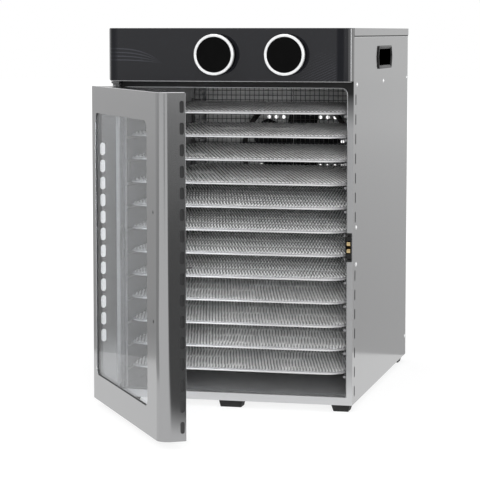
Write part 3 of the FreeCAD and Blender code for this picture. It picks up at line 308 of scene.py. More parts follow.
PANEL_TINT = (0.93, 0.96, 1.16)
PANEL_DARK, PANEL_PALE, PANEL_LINE = 0.008, 0.012, 0.036
# the arcs at the left end, from the panel's top left corner
ARC_LINES = 4
ARC_FROM, ARC_LENGTH = 2.0 * MM, 78.0 * MM
ARC_FOOT, ARC_RISE = -49.5 * MM, 21.0 * MM
ARC_SPAN, ARC_HEIGHTS = (0.0, 0.97), (0.12, 1.08)      # the shares of length and rise that show
# the slanting lines at the right end, from the panel's bottom right corner
FAN_SLOPE, FAN_PITCH = 0.45, 3.6 * MM
FAN_FADES, FAN_END, FAN_TOP = (-85.0 * MM, -40.0 * MM), -16.0 * MM, (12.0 * MM, 48.0 * MM)
# where each dull band begins, is in full, begins to end and has ended
RIGHT_BAND = (-21.0 * MM, -18.0 * MM, -11.0 * MM, -8.0 * MM)
LEFT_BAND, LEFT_BAND_SHARE = (2.0 * MM, 4.0 * MM, 8.0 * MM, 13.0 * MM), 0.7


def fascia_gloss(name, low, high):
    """Gloss-black control panel with faint flowing lines at both ends and a dull band near each."""
    material, f = new_finish(name)
    x, _, z = f.axes(f.spot(centre=(low.x + ARC_FROM, 0.0, high.z)))
    along = x / ARC_LENGTH
    height = (z - ARC_FOOT) / (1.001 - along * along * along) / ARC_RISE
    arcs = f.cosine(height * (2 * math.pi * ARC_LINES))
    field = ((along > ARC_SPAN[0]) * (along < ARC_SPAN[1])
             * (height > ARC_HEIGHTS[0]) * (height < ARC_HEIGHTS[1]))
    line = f.between(arcs, 0.3, 0.9, 0.0, 1.0) * field * f.between(along, 0.6, 1.0, 1.0, 0.3)

    right, _, up = f.axes(f.spot(centre=(high.x, 0.0, low.z)))
    fan = f.cosine((up - right * FAN_SLOPE) * (2 * math.pi / FAN_PITCH))
    line = line + (f.between(right, *FAN_FADES, 0.0, 1.0) * (right < FAN_END)
                   * f.between(up, *FAN_TOP, 1.0, 0.0) * f.between(fan, 0.2, 0.9, 0.0, 0.5))

    def band(place, limits, share):
        return f.between(place, *limits[:2], 0.0, share) * f.between(place, *limits[2:], 1.0, 0.0)

    cloud = f.noise(f.spot(), 6.0)
    base = f.mixed(cloud, rgb(PANEL_DARK, PANEL_TINT), rgb(PANEL_PALE, PANEL_TINT))
    gloss = f.node("ShaderNodeBsdfPrincipled", None, {
        "Base Color": f.mixed(line, base, rgb(PANEL_LINE, PANEL_TINT)),
        "Roughness": 0.05 + cloud * 0.04 + line * 0.12})
    dull = f.node("ShaderNodeBsdfPrincipled", None, {
        "Base Color": base, "Roughness": 0.3, "Specular IOR Level": 0.08})
    dulled = band(right, RIGHT_BAND, 1.0) + band(x, LEFT_BAND, LEFT_BAND_SHARE)
    f.surface(f.node("ShaderNodeMixShader", None, {0: dulled, 1: gloss, 2: dull}))
    return material


FLOOR_REACH = 20.0
FLOOR_GREY = 0.30
FLOOR_WHITE, FLOOR_FAR_WHITE = 0.78, 1.0       # how white it shows near the object and away from it
WHITE_FROM, WHITE_TO = 0.6, 2.0
# how brightly shiny things see the floor: a pale table, the ground past it and a dark cloth
TABLE_GLOW, PAST_GLOW, CLOTH_GLOW = 0.76, (0.47, 0.60), (0.10, 0.22)
# the table's left and back edges, then the wedge of it that reaches out to the front left
TABLE_LEFT, TABLE_BACK = -0.54, 0.44
LEAF_FRONT, LEAF_LEANS, LEAF_REACH = -0.6, (-1.9, -0.325), 4.1
# the ground gets brighter with distance, dimmer to the left and dimmer still at its front left
PAST_REACH, PAST_LEFT, PAST_LEFT_SHARE = (1.0, 9.0), (-1.2, 0.0), 0.86
CORNER_LEFT, CORNER_BACK, CORNER_SHADE = -0.7, (0.3, 0.7), 0.12
# the cloth's back left corner, its left edge's slant, how soft its edges are, and where it gets paler
CLOTH_FROM, CLOTH_SLOPE = (0.10, -0.46), 0.25
CLOTH_SIDE, CLOTH_BACK, CLOTH_REACH = (-0.02, 0.10), (-0.04, 0.02), (3.9, 4.8)
WORLD_LIGHT, WORLD_GLOSS = 0.42, 0.62


def paint_floor():
    """Pale floor. Shiny things see it as a bright table, with a dark cloth laid at its front right."""
    material, f = new_finish("studio_floor")
    x, y, _ = f.axes(f.spot())
    far = f.node("ShaderNodeVectorMath", {"operation": "LENGTH"}, {0: f.spot()}, 1)
    camera, glossy, clear = f.ray_is("Camera", "Glossy", "Transmission")
    white = f.between(far, WHITE_FROM, WHITE_TO, FLOOR_WHITE, FLOOR_FAR_WHITE)

    lean = x / (0.0 - y)
    leaf = ((y < LEAF_FRONT) * (lean > LEAF_LEANS[0])
            * f.larger(lean < LEAF_LEANS[1], far < LEAF_REACH))
    table = f.larger((x > TABLE_LEFT) * (y < TABLE_BACK), leaf)
    past = (f.between(far, *PAST_REACH, *PAST_GLOW) * f.between(x, *PAST_LEFT, PAST_LEFT_SHARE, 1.0)
            * (1.0 - (x < CORNER_LEFT) * f.between(y, *CORNER_BACK, CORNER_SHADE, 0.0)))
    glow = table * TABLE_GLOW + (1 - table) * past
    right, back = x - CLOTH_FROM[0], y - CLOTH_FROM[1]
    cloth = (f.between(right + back * CLOTH_SLOPE, *CLOTH_SIDE, 0.0, 1.0)
             * f.between(back, *CLOTH_BACK, 1.0, 0.0))
    glow = glow * (1 - cloth) + cloth * f.between(far, *CLOTH_REACH, *CLOTH_GLOW)

    matt = f.node("ShaderNodeBsdfDiffuse", None, {"Color": rgb(FLOOR_GREY)})
    light = f.node("ShaderNodeEmission", None, {"Color": rgb(1.0), "Strength": (camera + clear) * white})
    lit = f.node("ShaderNodeAddShader", None, {0: matt, 1: light})
    mirrored = f.node("ShaderNodeEmission", None, {"Color": rgb(1.0), "Strength": glow})
    f.surface(f.node("ShaderNodeMixShader", None, {0: glossy * (1 - clear), 1: lit, 2: mirrored}))
    return material


def set_the_studio():
    place_camera()
    bm = bmesh.new()
    bmesh.ops.create_circle(bm, cap_ends=True, radius=FLOOR_REACH, segments=64)
    mesh = bpy.data.meshes.new("floor")
    bm.to_mesh(mesh)
    bm.free()
    mesh.materials.append(paint_floor())
    floor = bpy.data.objects.new("floor", mesh)
    bpy.context.scene.collection.objects.link(floor)

    softbox("key", (-1.5, -2.7, 2.3), (0.0, -0.1, 0.25), (3.0, 2.2), 34.0, mirrored=False)
    softbox("fill_low", (0.95, -3.3, 0.5), (0.0, 0.0, 0.28), (1.0, 0.6), 56.0, mirrored=False)
    softbox("fill_high", (0.9, -3.3, 1.05), (0.0, 0.0, 0.28), (1.0, 0.8), 44.0, mirrored=False)
    softbox("overhead", (0.0, 0.3, 3.2), (0.0, 0.0, 0.3), (2.6, 2.0), 28.0)
    softbox("side", (3.0, -0.25, 0.9), (0.1, -0.1, 0.4), (2.2, 2.4), 22.0)

    world = bpy.data.worlds.new("studio")
    bpy.context.scene.world = world
    world.use_nodes = True
    f = Finish(world.node_tree)
    camera, glossy, clear = f.ray_is("Camera", "Glossy", "Transmission")
    level = (WORLD_LIGHT + (camera + clear) * (1 - WORLD_LIGHT)
             + glossy * (1 - clear) * (WORLD_GLOSS - WORLD_LIGHT))
    sky = f.node("ShaderNodeBackground", None, {"Color": rgb(1.0), "Strength": level})
    f.node_out("ShaderNodeOutputWorld", sky)
    bpy.context.scene.view_settings.view_transform = "Standard"


set_the_studio()


# ---------------------------------------------------------------- new pieces
def wire_piece(name, runs, radius, closed=False, sides=0):
    """Round wires along runs of points, made into one mesh."""
    curve = bpy.data.curves.new(name, "CURVE")
    curve.dimensions = "3D"
    curve.bevel_depth, curve.bevel_resolution = radius, sides
    curve.use_fill_caps = True
    for run in runs:
        spline = curve.splines.new("POLY")
        spline.points.add(len(run) - 1)
        for point, place in zip(spline.points, run):
            point.co = (*place, 1.0)
        spline.use_cyclic_u = closed
    holder = bpy.data.objects.new(name, curve)
    mesh = bpy.data.meshes.new_from_object(holder)
    bpy.data.objects.remove(holder)
    mesh.polygons.foreach_set("use_smooth", [True] * len(mesh.polygons))
    return mesh


def joined(name, meshes):
    """Several meshes as one."""
    bm = bmesh.new()
    for mesh in meshes:
        bm.from_mesh(mesh)
    mesh = bpy.data.meshes.new(name)
    bm.to_mesh(mesh)
    bm.free()
    return mesh


def show(name, mesh, finish, body):
    """Puts a mesh in the scene as a piece which rides on a body."""
    piece = bpy.data.objects.new(name, mesh)
    mesh.materials.clear()
    mesh.materials.append(finish)
    bpy.context.scene.collection.objects.link(piece)
    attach(piece, body)
    return piece


CORNER_STEPS = 8


def quarter_turn(start, turn=90.0):
    """The cosine and sine of angles evenly spaced through a turn, in degrees."""
    for step in range(CORNER_STEPS + 1):
        angle = math.radians(start + turn * step / CORNER_STEPS)
        yield math.cos(angle), math.sin(angle)


# radii of the tray's wires, and each weave's spacing of its long and its cross wires
RIM_WIRE, EDGE_WIRE, CROSS_WIRE, LONG_WIRE = 1.5 * MM, 0.5 * MM, 0.45 * MM, 0.5 * MM
FINE_WEAVE, OPEN_WEAVE = (2.3 * MM, 9.0 * MM), (2.97 * MM, 9.1 * MM)
RIM_CORNER = 29.5 * MM
MESH_ABOVE_RIM = 2.2 * MM
MESH_INSIDE_RIM = 0.5 * MM


def rim_run(x0, x1, y0, y1, z, radius):
    """Points round a rectangle with rounded corners."""
    run = []
    for cx, cy, start in ((x1 - radius, y1 - radius, 0), (x0 + radius, y1 - radius, 90),
                          (x0 + radius, y0 + radius, 180), (x1 - radius, y0 + radius, 270)):
        run += [(cx + radius * cos, cy + radius * sin, z) for cos, sin in quarter_turn(start)]
    return run


def woven_runs(x0, x1, y0, y1, z, radius, drop, pitch):
    """Straight wires across and crimped wires lengthways, their ends bent down to the rim."""
    across, deep = round((x1 - x0) / pitch[0]), round((y1 - y0) / pitch[1])
    step_x, step_y = (x1 - x0) / across, (y1 - y0) / deep
    mid_x, mid_y = (x0 + x1) / 2, (y0 + y1) / 2
    half_x, half_y = (x1 - x0) / 2, (y1 - y0) / 2

    def reach(offset, half):
        """How far a wire is cut short where the outline's corners turn."""
        past = max(0.0, offset - (half - radius))
        return radius - math.sqrt(max(0.0, radius * radius - past * past))

    cross, long = [], []
    for j in range(1, deep):
        y = y0 + j * step_y
        short = reach(abs(y - mid_y), half_y)
        cross.append([(x0 + short, y, z - drop), (x0 + short + step_x, y, z),
                      (x1 - short - step_x, y, z), (x1 - short, y, z - drop)])
    crimp = CROSS_WIRE + LONG_WIRE
    for i in range(1, across):
        x = x0 + i * step_x
        short = reach(abs(x - mid_x), half_x)
        first, last = y0 + short, y1 - short
        run = [(x, first, z - drop)]
        for j in range(1, deep):
            y = y0 + j * step_y
            if first + step_y * 0.3 < y < last - step_y * 0.3:
                run.append((x, y, z + (crimp if (i + j) % 2 else -crimp)))
        long.append(run + [(x, last, z - drop)])
    return cross, long


# each weave's wires, the shares of its two waves of crimps, how far back each wave repeats in millimetres,
# how dark the painted shade in its dips is, and between which heights of the wave a crimp turns from shaded
# dips to crests
WEAVES = ((FINE_WEAVE, 1.00, 0.30, 18.0, 24.9, 0.26, -0.75, 0.2),
          (FINE_WEAVE, 0.70, 0.66, 14.5, 33.0, 0.24, -0.75, 0.2),
          (OPEN_WEAVE, 1.10, 0.10, 18.2, 16.0, 0.03, -0.8, -0.35),
          (OPEN_WEAVE, 1.10, 0.10, 18.2, 16.0, 0.03, -0.3, 0.4))
WEAVE_OF_TRAY = (0, 0, 0, 0, 1, 1, 1, 1, 2, 2, 2, 3)        # from the lowest tray up


def woven_finish(name, corner, repeat, rib_share, rung_share, rib_lean, rung_lean, painted_dip_shade, dipped, raised):
    """Bright wire with painted shade where each crimp dips under its neighbour, broken up by random patches of
    painted glints, in two leaning directions.
    """
    material, f = new_finish(name)
    x, y, _ = f.axes(f.spot(centre=corner))
    rib, rung = (f.cosine(x * (2 * math.pi / repeat) + y * (2 * math.pi / (lean * MM)))
                 for lean in (rib_lean, rung_lean))
    sway = (f.noise(f.spot((1.0, 0.5, 1.0)), 16.0, 1.0, 0.5) - 0.5) * 2.0
    patch = f.noise(f.spot((1.0, 0.25, 1.0)), 190.0, 2.0, 0.5)
    wave = rib * (rib_share + sway) + rung * (rung_share - sway)
    # Painted shade and glints: the wire is painted down to the dips' grey where the wave dips, and random
    # patches of painted glints break that up.
    crest = f.between((patch - 0.5) * 1.5 - wave, dipped, raised, 0.0, 1.0)
    f.surface(f.node("ShaderNodeBsdfPrincipled", None, {
        "Base Color": f.mixed(crest, rgb(painted_dip_shade), rgb(1.0)),
        "Metallic": 0.03, "Roughness": 0.44 - crest * 0.14}))
    return material


def weave_trays():
    """Every tray as a rim of wire with its woven mesh, which replaces the plain tray."""
    low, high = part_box("tray_01")
    x0, x1 = low.x + RIM_WIRE, high.x - RIM_WIRE
    y0, y1 = low.y + RIM_WIRE, high.y - RIM_WIRE
    inside = MESH_INSIDE_RIM
    base_z = low.z + RIM_WIRE
    mesh_z = base_z + MESH_ABOVE_RIM
    inner = (x0 + inside, x1 - inside, y0 + inside, y1 - inside)
    corner = (inner[0], inner[2], 0.0)
    width = inner[1] - inner[0]
    weaves, woven = {}, []
    for i, (pitch, *look) in enumerate(WEAVES):
        if pitch not in weaves:
            cross, long = woven_runs(*inner, mesh_z, RIM_CORNER, MESH_ABOVE_RIM, pitch)
            weaves[pitch] = joined("weave", [wire_piece("cross", cross, CROSS_WIRE),
                                             wire_piece("long", long, LONG_WIRE)])
        repeat = 2 * width / round(width / pitch[0])
        woven.append((weaves[pitch], woven_finish("woven_wire_%d" % (i + 1), corner, repeat, *look)))
    rim = wire_piece("rim", [rim_run(x0, x1, y0, y1, base_z, RIM_CORNER)], RIM_WIRE, True, 2)
    edge = wire_piece("edge", [rim_run(*inner, mesh_z, RIM_CORNER)], EDGE_WIRE, True, 1)
    whole_rim = joined("tray_rim", [rim, edge])
    for number, kind in enumerate(WEAVE_OF_TRAY, 1):
        node = "tray_%02d" % number
        lift = Matrix.Translation((0, 0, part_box(node)[0].z - low.z))
        weave, woven_wire = woven[kind]
        for part, mesh, finish in (("mesh", weave, woven_wire), ("rim", whole_rim, SLOT_FINISH["tray_mesh"])):
            mesh = mesh.copy()
            mesh.transform(lift)
            piece = show("%s_%s" % (node, part), mesh, finish, node)
            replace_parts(piece, node)


GUARD_PITCH = 7.5 * MM
GUARD_WIRE, GUARD_STAY = 0.5 * MM, 0.9 * MM    # radii
GUARD_LAP = GUARD_WIRE * 0.6                   # how far each layer of wires lies from the middle


def wire_guard():
    """The grid of welded wires in front of the fan, with a stay up its middle."""
    low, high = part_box("fan_guard")
    y = (low.y + high.y) / 2
    x0, x1 = low.x + GUARD_WIRE, high.x - GUARD_WIRE
    z0, z1 = low.z + GUARD_WIRE, high.z - GUARD_WIRE
    across, up = round((x1 - x0) / GUARD_PITCH), round((z1 - z0) / GUARD_PITCH)
    runs = []
    for i in range(across + 1):
        x = x0 + (x1 - x0) * i / across
        runs.append([(x, y - GUARD_LAP, z0), (x, y - GUARD_LAP, z1)])
    for i in range(up + 1):
        z = z0 + (z1 - z0) * i / up
        runs.append([(x0, y + GUARD_LAP, z), (x1, y + GUARD_LAP, z)])
    grid = wire_piece("wire_guard", runs, GUARD_WIRE)
    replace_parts(show("wire_guard", grid, GUARD_STEEL, "cabinet"), "fan_guard")
    middle = (x0 + x1) / 2
    stay = wire_piece("guard_stay", [[(middle, low.y, z0 + GUARD_STAY), (middle, low.y, z1 - GUARD_STAY)]],
                      GUARD_STAY, False, 1)
    show("guard_stay", stay, TRIM_STEEL, "cabinet")


WELD = 0.001 * MM
FLAT_BEND, ROUND_BEND = math.radians(0.5), math.radians(35.0)


def flat_regions(bm):
    """The number of the flat region that each face belongs to, and each region's area."""
    region, areas = {}, []
    for first in bm.faces:
        if first in region:
            continue
        region[first], found, area = len(areas), [first], 0.0
        while found:
            face = found.pop()
            area += face.calc_area()
            for other in {f for edge in face.edges for f in edge.link_faces if f not in region}:
                if face.normal.angle(other.normal, 0.0) < FLAT_BEND:
                    region[other] = len(areas)
                    found.append(other)
        areas.append(area)
    return region, areas


def round_normals(bm):
    """A normal for each corner, so that roundings turn evenly and flat faces stay flat."""
    bm.normal_update()
    region, areas = flat_regions(bm)
    normals = []
    for face in bm.faces:
        for vert in face.verts:
            near = {region[f]: f.normal for f in vert.link_faces
                    if f.normal.angle(face.normal, 0.0) < ROUND_BEND}
            total = Vector()
            for index, normal in near.items():
                total += normal * areas[index] ** 2
            normals.append(total.normalized())
    return normals


def refined(node):
    """The same shape as a node, with its facets joined and shaded round."""
    source = nodes[node]
    bm = bmesh.new()
    bm.from_mesh(source.data)
    bmesh.ops.remove_doubles(bm, verts=bm.verts, dist=WELD)
    normals = round_normals(bm)
    mesh = bpy.data.meshes.new("fine_" + node)
    bm.to_mesh(mesh)
    bm.free()
    mesh.polygons.foreach_set("use_smooth", [True] * len(mesh.polygons))
    mesh.normals_split_custom_set(normals)
    body = next(name for name, empty in frame["bodies"].items() if source.parent is empty)
    piece = show("fine_" + node, mesh, source.material_slots[0].material, body)
    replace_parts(piece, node)


def bevelled(bm, parts, offset, segments=2, affect="EDGES"):
    """Rounds the given edges or corners."""
    bmesh.ops.bevel(bm, geom=list(parts), offset=offset, offset_type="OFFSET", segments=segments,
                    profile=0.5, affect=affect, clamp_overlap=True, material=-1)


def add_block(bm, low, high, edge):
    """A block between two corners, its edges rounded."""
    made = bmesh.ops.create_cube(bm, size=1.0)["verts"]
    low, high = Vector(low), Vector(high)
    size = high - low
    bmesh.ops.scale(bm, vec=size, verts=made)
    bmesh.ops.translate(bm, vec=(low + high) / 2, verts=made)
    bevelled(bm, {e for v in made for e in v.link_edges}, edge)


def add_disc(bm, centre, radius, thickness, edge):
    """A disc with rounded rims."""
    made = bmesh.ops.create_cone(bm, cap_ends=True, segments=40, radius1=radius, radius2=radius,
                                 depth=thickness)["verts"]
    bmesh.ops.translate(bm, vec=centre, verts=made)
    rims = {e for v in made for e in v.link_edges if abs(e.verts[0].co.z - e.verts[1].co.z) < 1e-7}
    bevelled(bm, rims, edge)


def solid_mesh(name, bm):
    """The mesh of finished solids, their faces all turned outwards."""
    bmesh.ops.recalc_face_normals(bm, faces=bm.faces)
    mesh = bpy.data.meshes.new(name)
    bm.to_mesh(mesh)
    bm.free()
    return mesh


def smooth_solid(name, bm, angle=35.0):
    """Solids shaded smooth but for edges sharper than the angle, listed by place to be alike on every run."""
    bmesh.ops.recalc_face_normals(bm, faces=bm.faces)
    corners = sorted(bm.verts, key=lambda v: tuple(v.co))
    number = {vert: i for i, vert in enumerate(corners)}
    faces = []
    for face in bm.faces:
        ring = [number[vert] for vert in face.verts]
        first = ring.index(min(ring))
        faces.append(ring[first:] + ring[:first])
    mesh = bpy.data.meshes.new(name)
    mesh.from_pydata([vert.co for vert in corners], [], sorted(faces))
    bm.free()
    mesh.polygons.foreach_set("use_smooth", [True] * len(mesh.polygons))
    mesh.set_sharp_from_angle(angle=math.radians(angle))
    return mesh


def blocks(name, corners, edge, finish):
    """Blocks of sheet on the cabinet, from pairs of corners in millimetres."""
    bm = bmesh.new()
    for low, high in corners:
        add_block(bm, [v * MM for v in low], [v * MM for v in high], edge * MM)
    show(name, solid_mesh(name, bm), finish, "cabinet")


BEAD_RADIUS = 1.5 * MM
# all in millimetres from the control panel's faces
LIP_ENDS, LIP_FRONT, LIP_BACK, LIP_DROP, LIP_EDGE = 1.2, 8.0, 12.6, 1.1, 0.25
BEAD_SIDE, BEAD_BACK, BEAD_FOOT, BEAD_TOP = 1.6, 6.5, 0.6, 0.8


def trim_fascia():
    """A bright lip under the control panel and a bead down each of its ends."""
    low, high = (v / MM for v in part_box("control_fascia"))
    lip = ((low.x + LIP_ENDS, low.y + LIP_FRONT, low.z - LIP_DROP),
           (high.x - LIP_ENDS, low.y + LIP_BACK, low.z))
    blocks("fascia_lip", [lip], LIP_EDGE, SLOT_FINISH["pin_steel"])
    y = low.y + BEAD_BACK
    ends = [[(x, y, low.z + BEAD_FOOT), (x, y, high.z - BEAD_TOP)]
            for x in (high.x - BEAD_SIDE, low.x + BEAD_SIDE)]
    ends = [[[v * MM for v in point] for point in run] for run in ends]
    show("fascia_end_beads", wire_piece("fascia_end_beads", ends, BEAD_RADIUS, False, 3),
         TRIM_STEEL, "cabinet")


# all in millimetres
SEAM_DEEP, SEAM_THICK, SEAM_EDGE = 1.5, 0.35, 0.1
FOLD_DEEP, FOLD_THICK, FOLD_EDGE = 0.9, 0.5, 0.15
SEAM_ENDS = 2.0                                # how far both stop short of the cover's ends


def seam_of_cover():
    """The painted shadow line below the skirt of the top cover, with the fold under it painted pale as a
    painted highlight.
    """
    low, high = (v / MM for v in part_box("top_cover"))
    dark, light = [], []
    for side, out in ((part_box("side_panel_right")[1].x / MM, 1), (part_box("side_panel_left")[0].x / MM, -1)):
        for kept, top, deep, thick in ((dark, low.z, SEAM_DEEP, SEAM_THICK),
                                       (light, low.z - SEAM_DEEP, FOLD_DEEP, FOLD_THICK)):
            xs = sorted((side, side + out * thick))
            kept.append(((xs[0], low.y + SEAM_ENDS, top - deep), (xs[1], high.y - SEAM_ENDS, top)))
    # Painted shadow: a dark strip in the rubber finish stands in the seam; painted highlight: the fold strip
    # below it uses the pale fold steel.
    blocks("cover_seam", dark, SEAM_EDGE, SLOT_FINISH["rubber"])
    blocks("cover_fold", light, FOLD_EDGE, FOLD_HIGHLIGHT_STEEL)


OPENING_CORNER, OPENING_EDGE = 9.0 * MM, 0.45 * MM


def edge_of_opening():
    """The rolled edge round the chamber's opening, with a break for the strike; its top is painted bright, a
    painted highlight.
    """
    left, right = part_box("liner_left")[0].x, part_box("liner_right")[1].x
    top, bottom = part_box("liner_ceiling")[1].z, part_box("chamber_floor")[1].z
    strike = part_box("door_strike")
    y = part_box("front_frame")[0].y
    radius = OPENING_CORNER
    run = [(left, y, bottom)]
    for x, start in ((left + radius, 180.0), (right - radius, 90.0)):
        run += [(x + radius * cos, y, top - radius + radius * sin) for cos, sin in quarter_turn(start, -90.0)]
    run.append((right, y, strike[1].z + MM))
    runs = [run, [(right, y, strike[0].z - MM), (right, y, bottom)]]
    show("opening_edge", wire_piece("opening_edge", runs, OPENING_EDGE, False, 2),
         EDGE_STEEL, "cabinet")


LEAF_SHEET = 1.7 * MM
WASHER_RADIUS, WASHER_ROUND, WASHER_ASIDE = 5.2 * MM, 0.25 * MM, 2.2 * MM
WASHERS, SPACERS = ((0.05, 0.3), (0.62, 0.8)), ((0.3, 0.62), (0.8, 1.0))    # shares of the gap they fill


def stack_hinge_washers():
    """Washers and spacers between the upper hinge leaf and the door."""
    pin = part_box("hinge_pins")
    x, y = (pin[0].x + pin[1].x) / 2 + WASHER_ASIDE, (pin[0].y + pin[1].y) / 2
    door_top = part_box("door_skin")[1].z
    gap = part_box("hinge_brackets")[1].z - LEAF_SHEET - door_top
    for name, finish, parts in (("hinge_washers", SLOT_FINISH["wire_steel"], WASHERS),
                                ("hinge_spacers", HINGE_STEEL, SPACERS)):
        bm = bmesh.new()
        for start, end in parts:
            z0, z1 = door_top + gap * start, door_top + gap * end
            add_disc(bm, (x, y, (z0 + z1) / 2), WASHER_RADIUS, z1 - z0, WASHER_ROUND)
        show(name, smooth_solid(name, bm), finish, "cabinet")


def door_axes():
    """The door's own axes, along it, through it and up, with its lowest and highest corners on them."""
    mesh = nodes["door_skin"].data
    face = max((p for p in mesh.polygons if abs(p.normal.z) < 0.1), key=lambda p: p.area)
    out = Vector((face.normal.x, face.normal.y, 0.0)).normalized()
    away = sum(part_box("door_skin"), Vector()) - sum(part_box("back_panel"), Vector())
    if out.dot(away) < 0:
        out = -out
    turn = Matrix(((-out.y, out.x, 0.0), -out, (0.0, 0.0, 1.0))).transposed().to_4x4()
    places = [turn.inverted() @ v.co for v in mesh.vertices]
    low, high = (Vector([pick(p[axis] for p in places) for axis in range(3)]) for pick in (min, max))
    return turn, low, high


DOOR_BEND = 16.0 * MM                          # the round of its free edge
FOLD_RADIUS, FOLD_SUNK = 0.8 * MM, 0.2 * MM
FOLD_FROM, FOLD_TO = 2.0 * MM, 1.5 * MM        # how far it stops short of the hinge edge and of the back
# A near-black sheet behind the free flange's slots: painted shade that makes the slots show dark inside.
SHADE_SHEET_INSIDE, SHADE_SHEET_THICK, SHADE_SHEET_EDGE = 1.0 * MM, 0.5 * MM, 0.1 * MM
SHADE_SHEET_ENDS, SHADE_SHEET_BACK = 2.0 * MM, 1.2 * MM


def finish_the_door():
    """The rolled fold along the door's top, painted pale as a painted highlight, and a near-black sheet behind
    the slots of its free flange, painted shade that makes them show dark inside.
    """
    turn, low, high = door_axes()
    y, z = low.y + FOLD_RADIUS, high.z - FOLD_SUNK
    bend = DOOR_BEND - FOLD_RADIUS
    run = [(low.x + FOLD_FROM, y, z)]
    run += [(high.x - DOOR_BEND + bend * cos, low.y + DOOR_BEND + bend * sin, z)
            for cos, sin in quarter_turn(-90.0)]
    run.append((high.x - FOLD_RADIUS, high.y - FOLD_TO, z))
    fold = wire_piece("door_top_fold", [run], FOLD_RADIUS, False, 2)
    fold.transform(turn)
    show("door_top_fold", fold, FOLD_HIGHLIGHT_STEEL, "door")

    # Painted shade: a near-black sheet behind the slots.
    bm = bmesh.new()
    add_block(bm, (high.x - SHADE_SHEET_INSIDE - SHADE_SHEET_THICK, low.y + DOOR_BEND, low.z + SHADE_SHEET_ENDS),
              (high.x - SHADE_SHEET_INSIDE, high.y - SHADE_SHEET_BACK, high.z - SHADE_SHEET_ENDS), SHADE_SHEET_EDGE)
    shade_sheet = solid_mesh("slot_shade_sheet", bm)
    shade_sheet.transform(turn)
    show("slot_shade_sheet", shade_sheet, SLOT_SHADE_STEEL, "door")


PULL_MARGINS = (3.5 * MM, 1.0 * MM)            # inside the handle's box, lengthways and upwards
PULL_BOW, PULL_CORNER = 7.0 * MM, 2.6 * MM
PULL_PROUD, PULL_EDGE = 1.9 * MM, 0.7 * MM
PULL_RIM, PULL_CHAMFER = 1.6 * MM, 2.6 * MM
POCKET_SHORT = 0.5 * MM                        # how much shallower the pocket is than the handle's box


def push(bm, face, distance):
    """Draws a face out, or in, sideways."""
    grown = bmesh.ops.extrude_face_region(bm, geom=[face])["geom"]
    bmesh.ops.translate(bm, vec=(distance, 0, 0),
                        verts=[part for part in grown if isinstance(part, bmesh.types.BMVert)])


def make_pulls():
    """The recessed pull on each side: a bowed rim with a chamfered mouth and a deep pocket."""
    for side, out in (("right", 1), ("left", -1)):
        node = "side_handle_" + side
        low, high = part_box(node)
        centre, half = (low + high) / 2, (high - low) / 2
        panel, deepest = ((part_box("side_panel_right")[1].x, low.x) if out > 0
                          else (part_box("side_panel_left")[0].x, high.x))
        half_y, half_z = half.y - PULL_MARGINS[0], half.z - PULL_MARGINS[1]
        straight = half_y - PULL_BOW
        outline = [(-straight, -half_z), (straight, -half_z), (half_y, 0.0),
                   (straight, half_z), (-straight, half_z), (-half_y, 0.0)]

        def outer():
            return (f for f in bm.faces if f.normal.x * out > 0.9)

        bm = bmesh.new()
        bm.faces.new([bm.verts.new((panel, centre.y + y, centre.z + z)) for y, z in outline])
        bevelled(bm, bm.verts, PULL_CORNER, 4, "VERTICES")
        push(bm, max(bm.faces, key=lambda f: f.calc_area()), out * PULL_PROUD)
        bmesh.ops.recalc_face_normals(bm, faces=bm.faces)
        bevelled(bm, next(outer()).edges, PULL_EDGE, 3)
        face = max(outer(), key=lambda f: f.calc_area())
        bmesh.ops.inset_region(bm, faces=[face], thickness=PULL_RIM, depth=0.0, use_even_offset=True)
        bmesh.ops.inset_region(bm, faces=[face], thickness=PULL_CHAMFER, depth=-PULL_PROUD,
                               use_even_offset=True)
        push(bm, face, -out * (abs(panel - deepest) - POCKET_SHORT))
        name = "recessed_pull_" + side
        pull = show(name, smooth_solid(name, bm, 30.0), PULL_PLASTIC, "cabinet")
        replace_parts(pull, node)


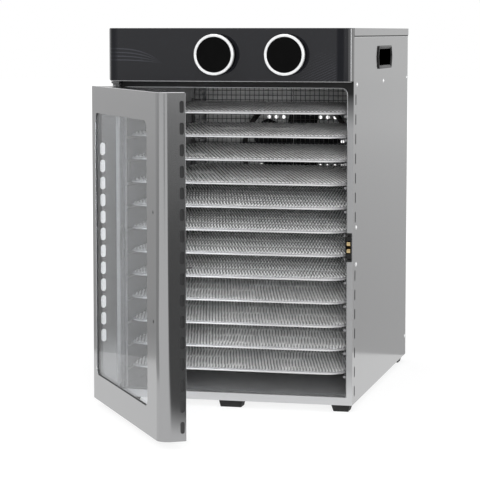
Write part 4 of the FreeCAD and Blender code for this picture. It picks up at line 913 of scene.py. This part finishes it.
# ---------------------------------------------------------------- finishes of the nodes
SLOT_FINISH = {
    "stainless": brushed_steel("panel_steel", PANEL_GREY, PANEL_ROUGH, "z"),
    "chamber_steel": brushed_steel("chamber_steel", 0.56, 0.26, "z", metal=0.6),
    "galvanised_steel": zinc_steel("galvanised_steel"),
    "wire_steel": bright_metal("bright_wire", (0.46, 0.46, 0.47), 0.42),
    "tray_mesh": bright_metal("tray_wire", (0.84, 0.84, 0.85), 0.24, metal=0.6),
    "pin_steel": bright_metal("plated_pin", (0.72, 0.72, 0.73), 0.2),
    "gloss_black": fascia_gloss("gloss_black", *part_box("control_fascia")),
    "dial_black": moulding("dial_black", 0.003, 0.6, 0.00001, shine=0.03),
    "black_plastic": moulding("black_plastic", 0.012, 0.45, shine=0.3),
    "chrome": bright_metal("chrome", (0.95, 0.955, 0.96), 0.20, 0.02, metal=0.5),
    "rubber": moulding("rubber", 0.016, 0.75, 0.00008, 500.0),
    "seal_rubber": moulding("seal_rubber", 0.030, 0.6),
    "glass": clear_glass("door_glass"),
    "brass": bright_metal("brass", (0.80, 0.62, 0.34), 0.18),
    "motor_iron": moulding("motor_iron", 0.06, 0.5, 0.00010, 300.0),
    "heater_tube": bright_metal("heater_tube", (0.24, 0.22, 0.21), 0.42),
    "fan_black": moulding("fan_black", 0.022, 0.35),
}
# finishes of pieces that differ from their slot's; each of the heights is from, to, grey
# The front frame: paler in its bottom 24 mm, fading to its main grey by 60 mm, and painted shade darkening it
# to near black from 398 mm up to 446 mm, towards the overhanging control panel.
FRAME_STEEL = brushed_steel("frame_steel", 0.82, 0.42, "x",
                            heights=((0.024, 0.060, 0.58), (0.398, 0.446, 0.04)))
GUARD_STEEL = bright_metal("guard_wire", (0.26, 0.26, 0.265), 0.35)
TRIM_STEEL = brushed_steel("trim_steel", 0.60, 0.34, "z")
# Fold steel is painted far paler than the panel steel: a painted highlight along the cover's fold and the
# door's top fold.
FOLD_HIGHLIGHT_STEEL = brushed_steel("fold_highlight_steel", 0.95, 0.42, "y")
# Its grey turns near white between 394 and 402 mm up: a painted highlight along the top of the opening's edge.
EDGE_STEEL = brushed_steel("edge_steel", 0.40, 0.40, "z", heights=((0.394, 0.402, 0.9),))
# Near-black steel for the sheet behind the door's slots: painted shade.
SLOT_SHADE_STEEL = brushed_steel("slot_shade_steel", 0.11, 0.45, "z")
HINGE_STEEL = brushed_steel("hinge_steel", 0.24, 0.35, "x")
BACK_STEEL = backed_steel("back_steel", sum(end.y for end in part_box("back_panel")) / 2)
PULL_PLASTIC = moulding("pull_plastic", 0.008, 0.26, 0.00001, shine=0.34)
OWN_FINISH = {
    "front_frame": FRAME_STEEL, "back_panel": BACK_STEEL, "panel_screws": SLOT_FINISH["chrome"],
    "hinge_brackets": HINGE_STEEL, "glass_retainer": HINGE_STEEL,
}
ROUNDED_NODES = ("door_skin", "control_fascia", "top_cover", "timer_dial", "timer_dial_ring",
                 "thermostat_dial", "thermostat_dial_ring", "catch_roller_upper",
                 "catch_roller_lower", "panel_screws", "hinge_pins", "heating_element")
slot_of = {}


def dress_nodes():
    """Gives each node the finish of its record slot, or its own where it differs."""
    for name, node in nodes.items():
        for held in node.material_slots:
            slot_of[name] = held.material.name.split(".")[0]
            held.material = OWN_FINISH.get(name, SLOT_FINISH[slot_of[name]])


dress_nodes()
weave_trays()
wire_guard()
trim_fascia()
seam_of_cover()
edge_of_opening()
stack_hinge_washers()
finish_the_door()
make_pulls()
for node in ROUNDED_NODES:
    refined(node)
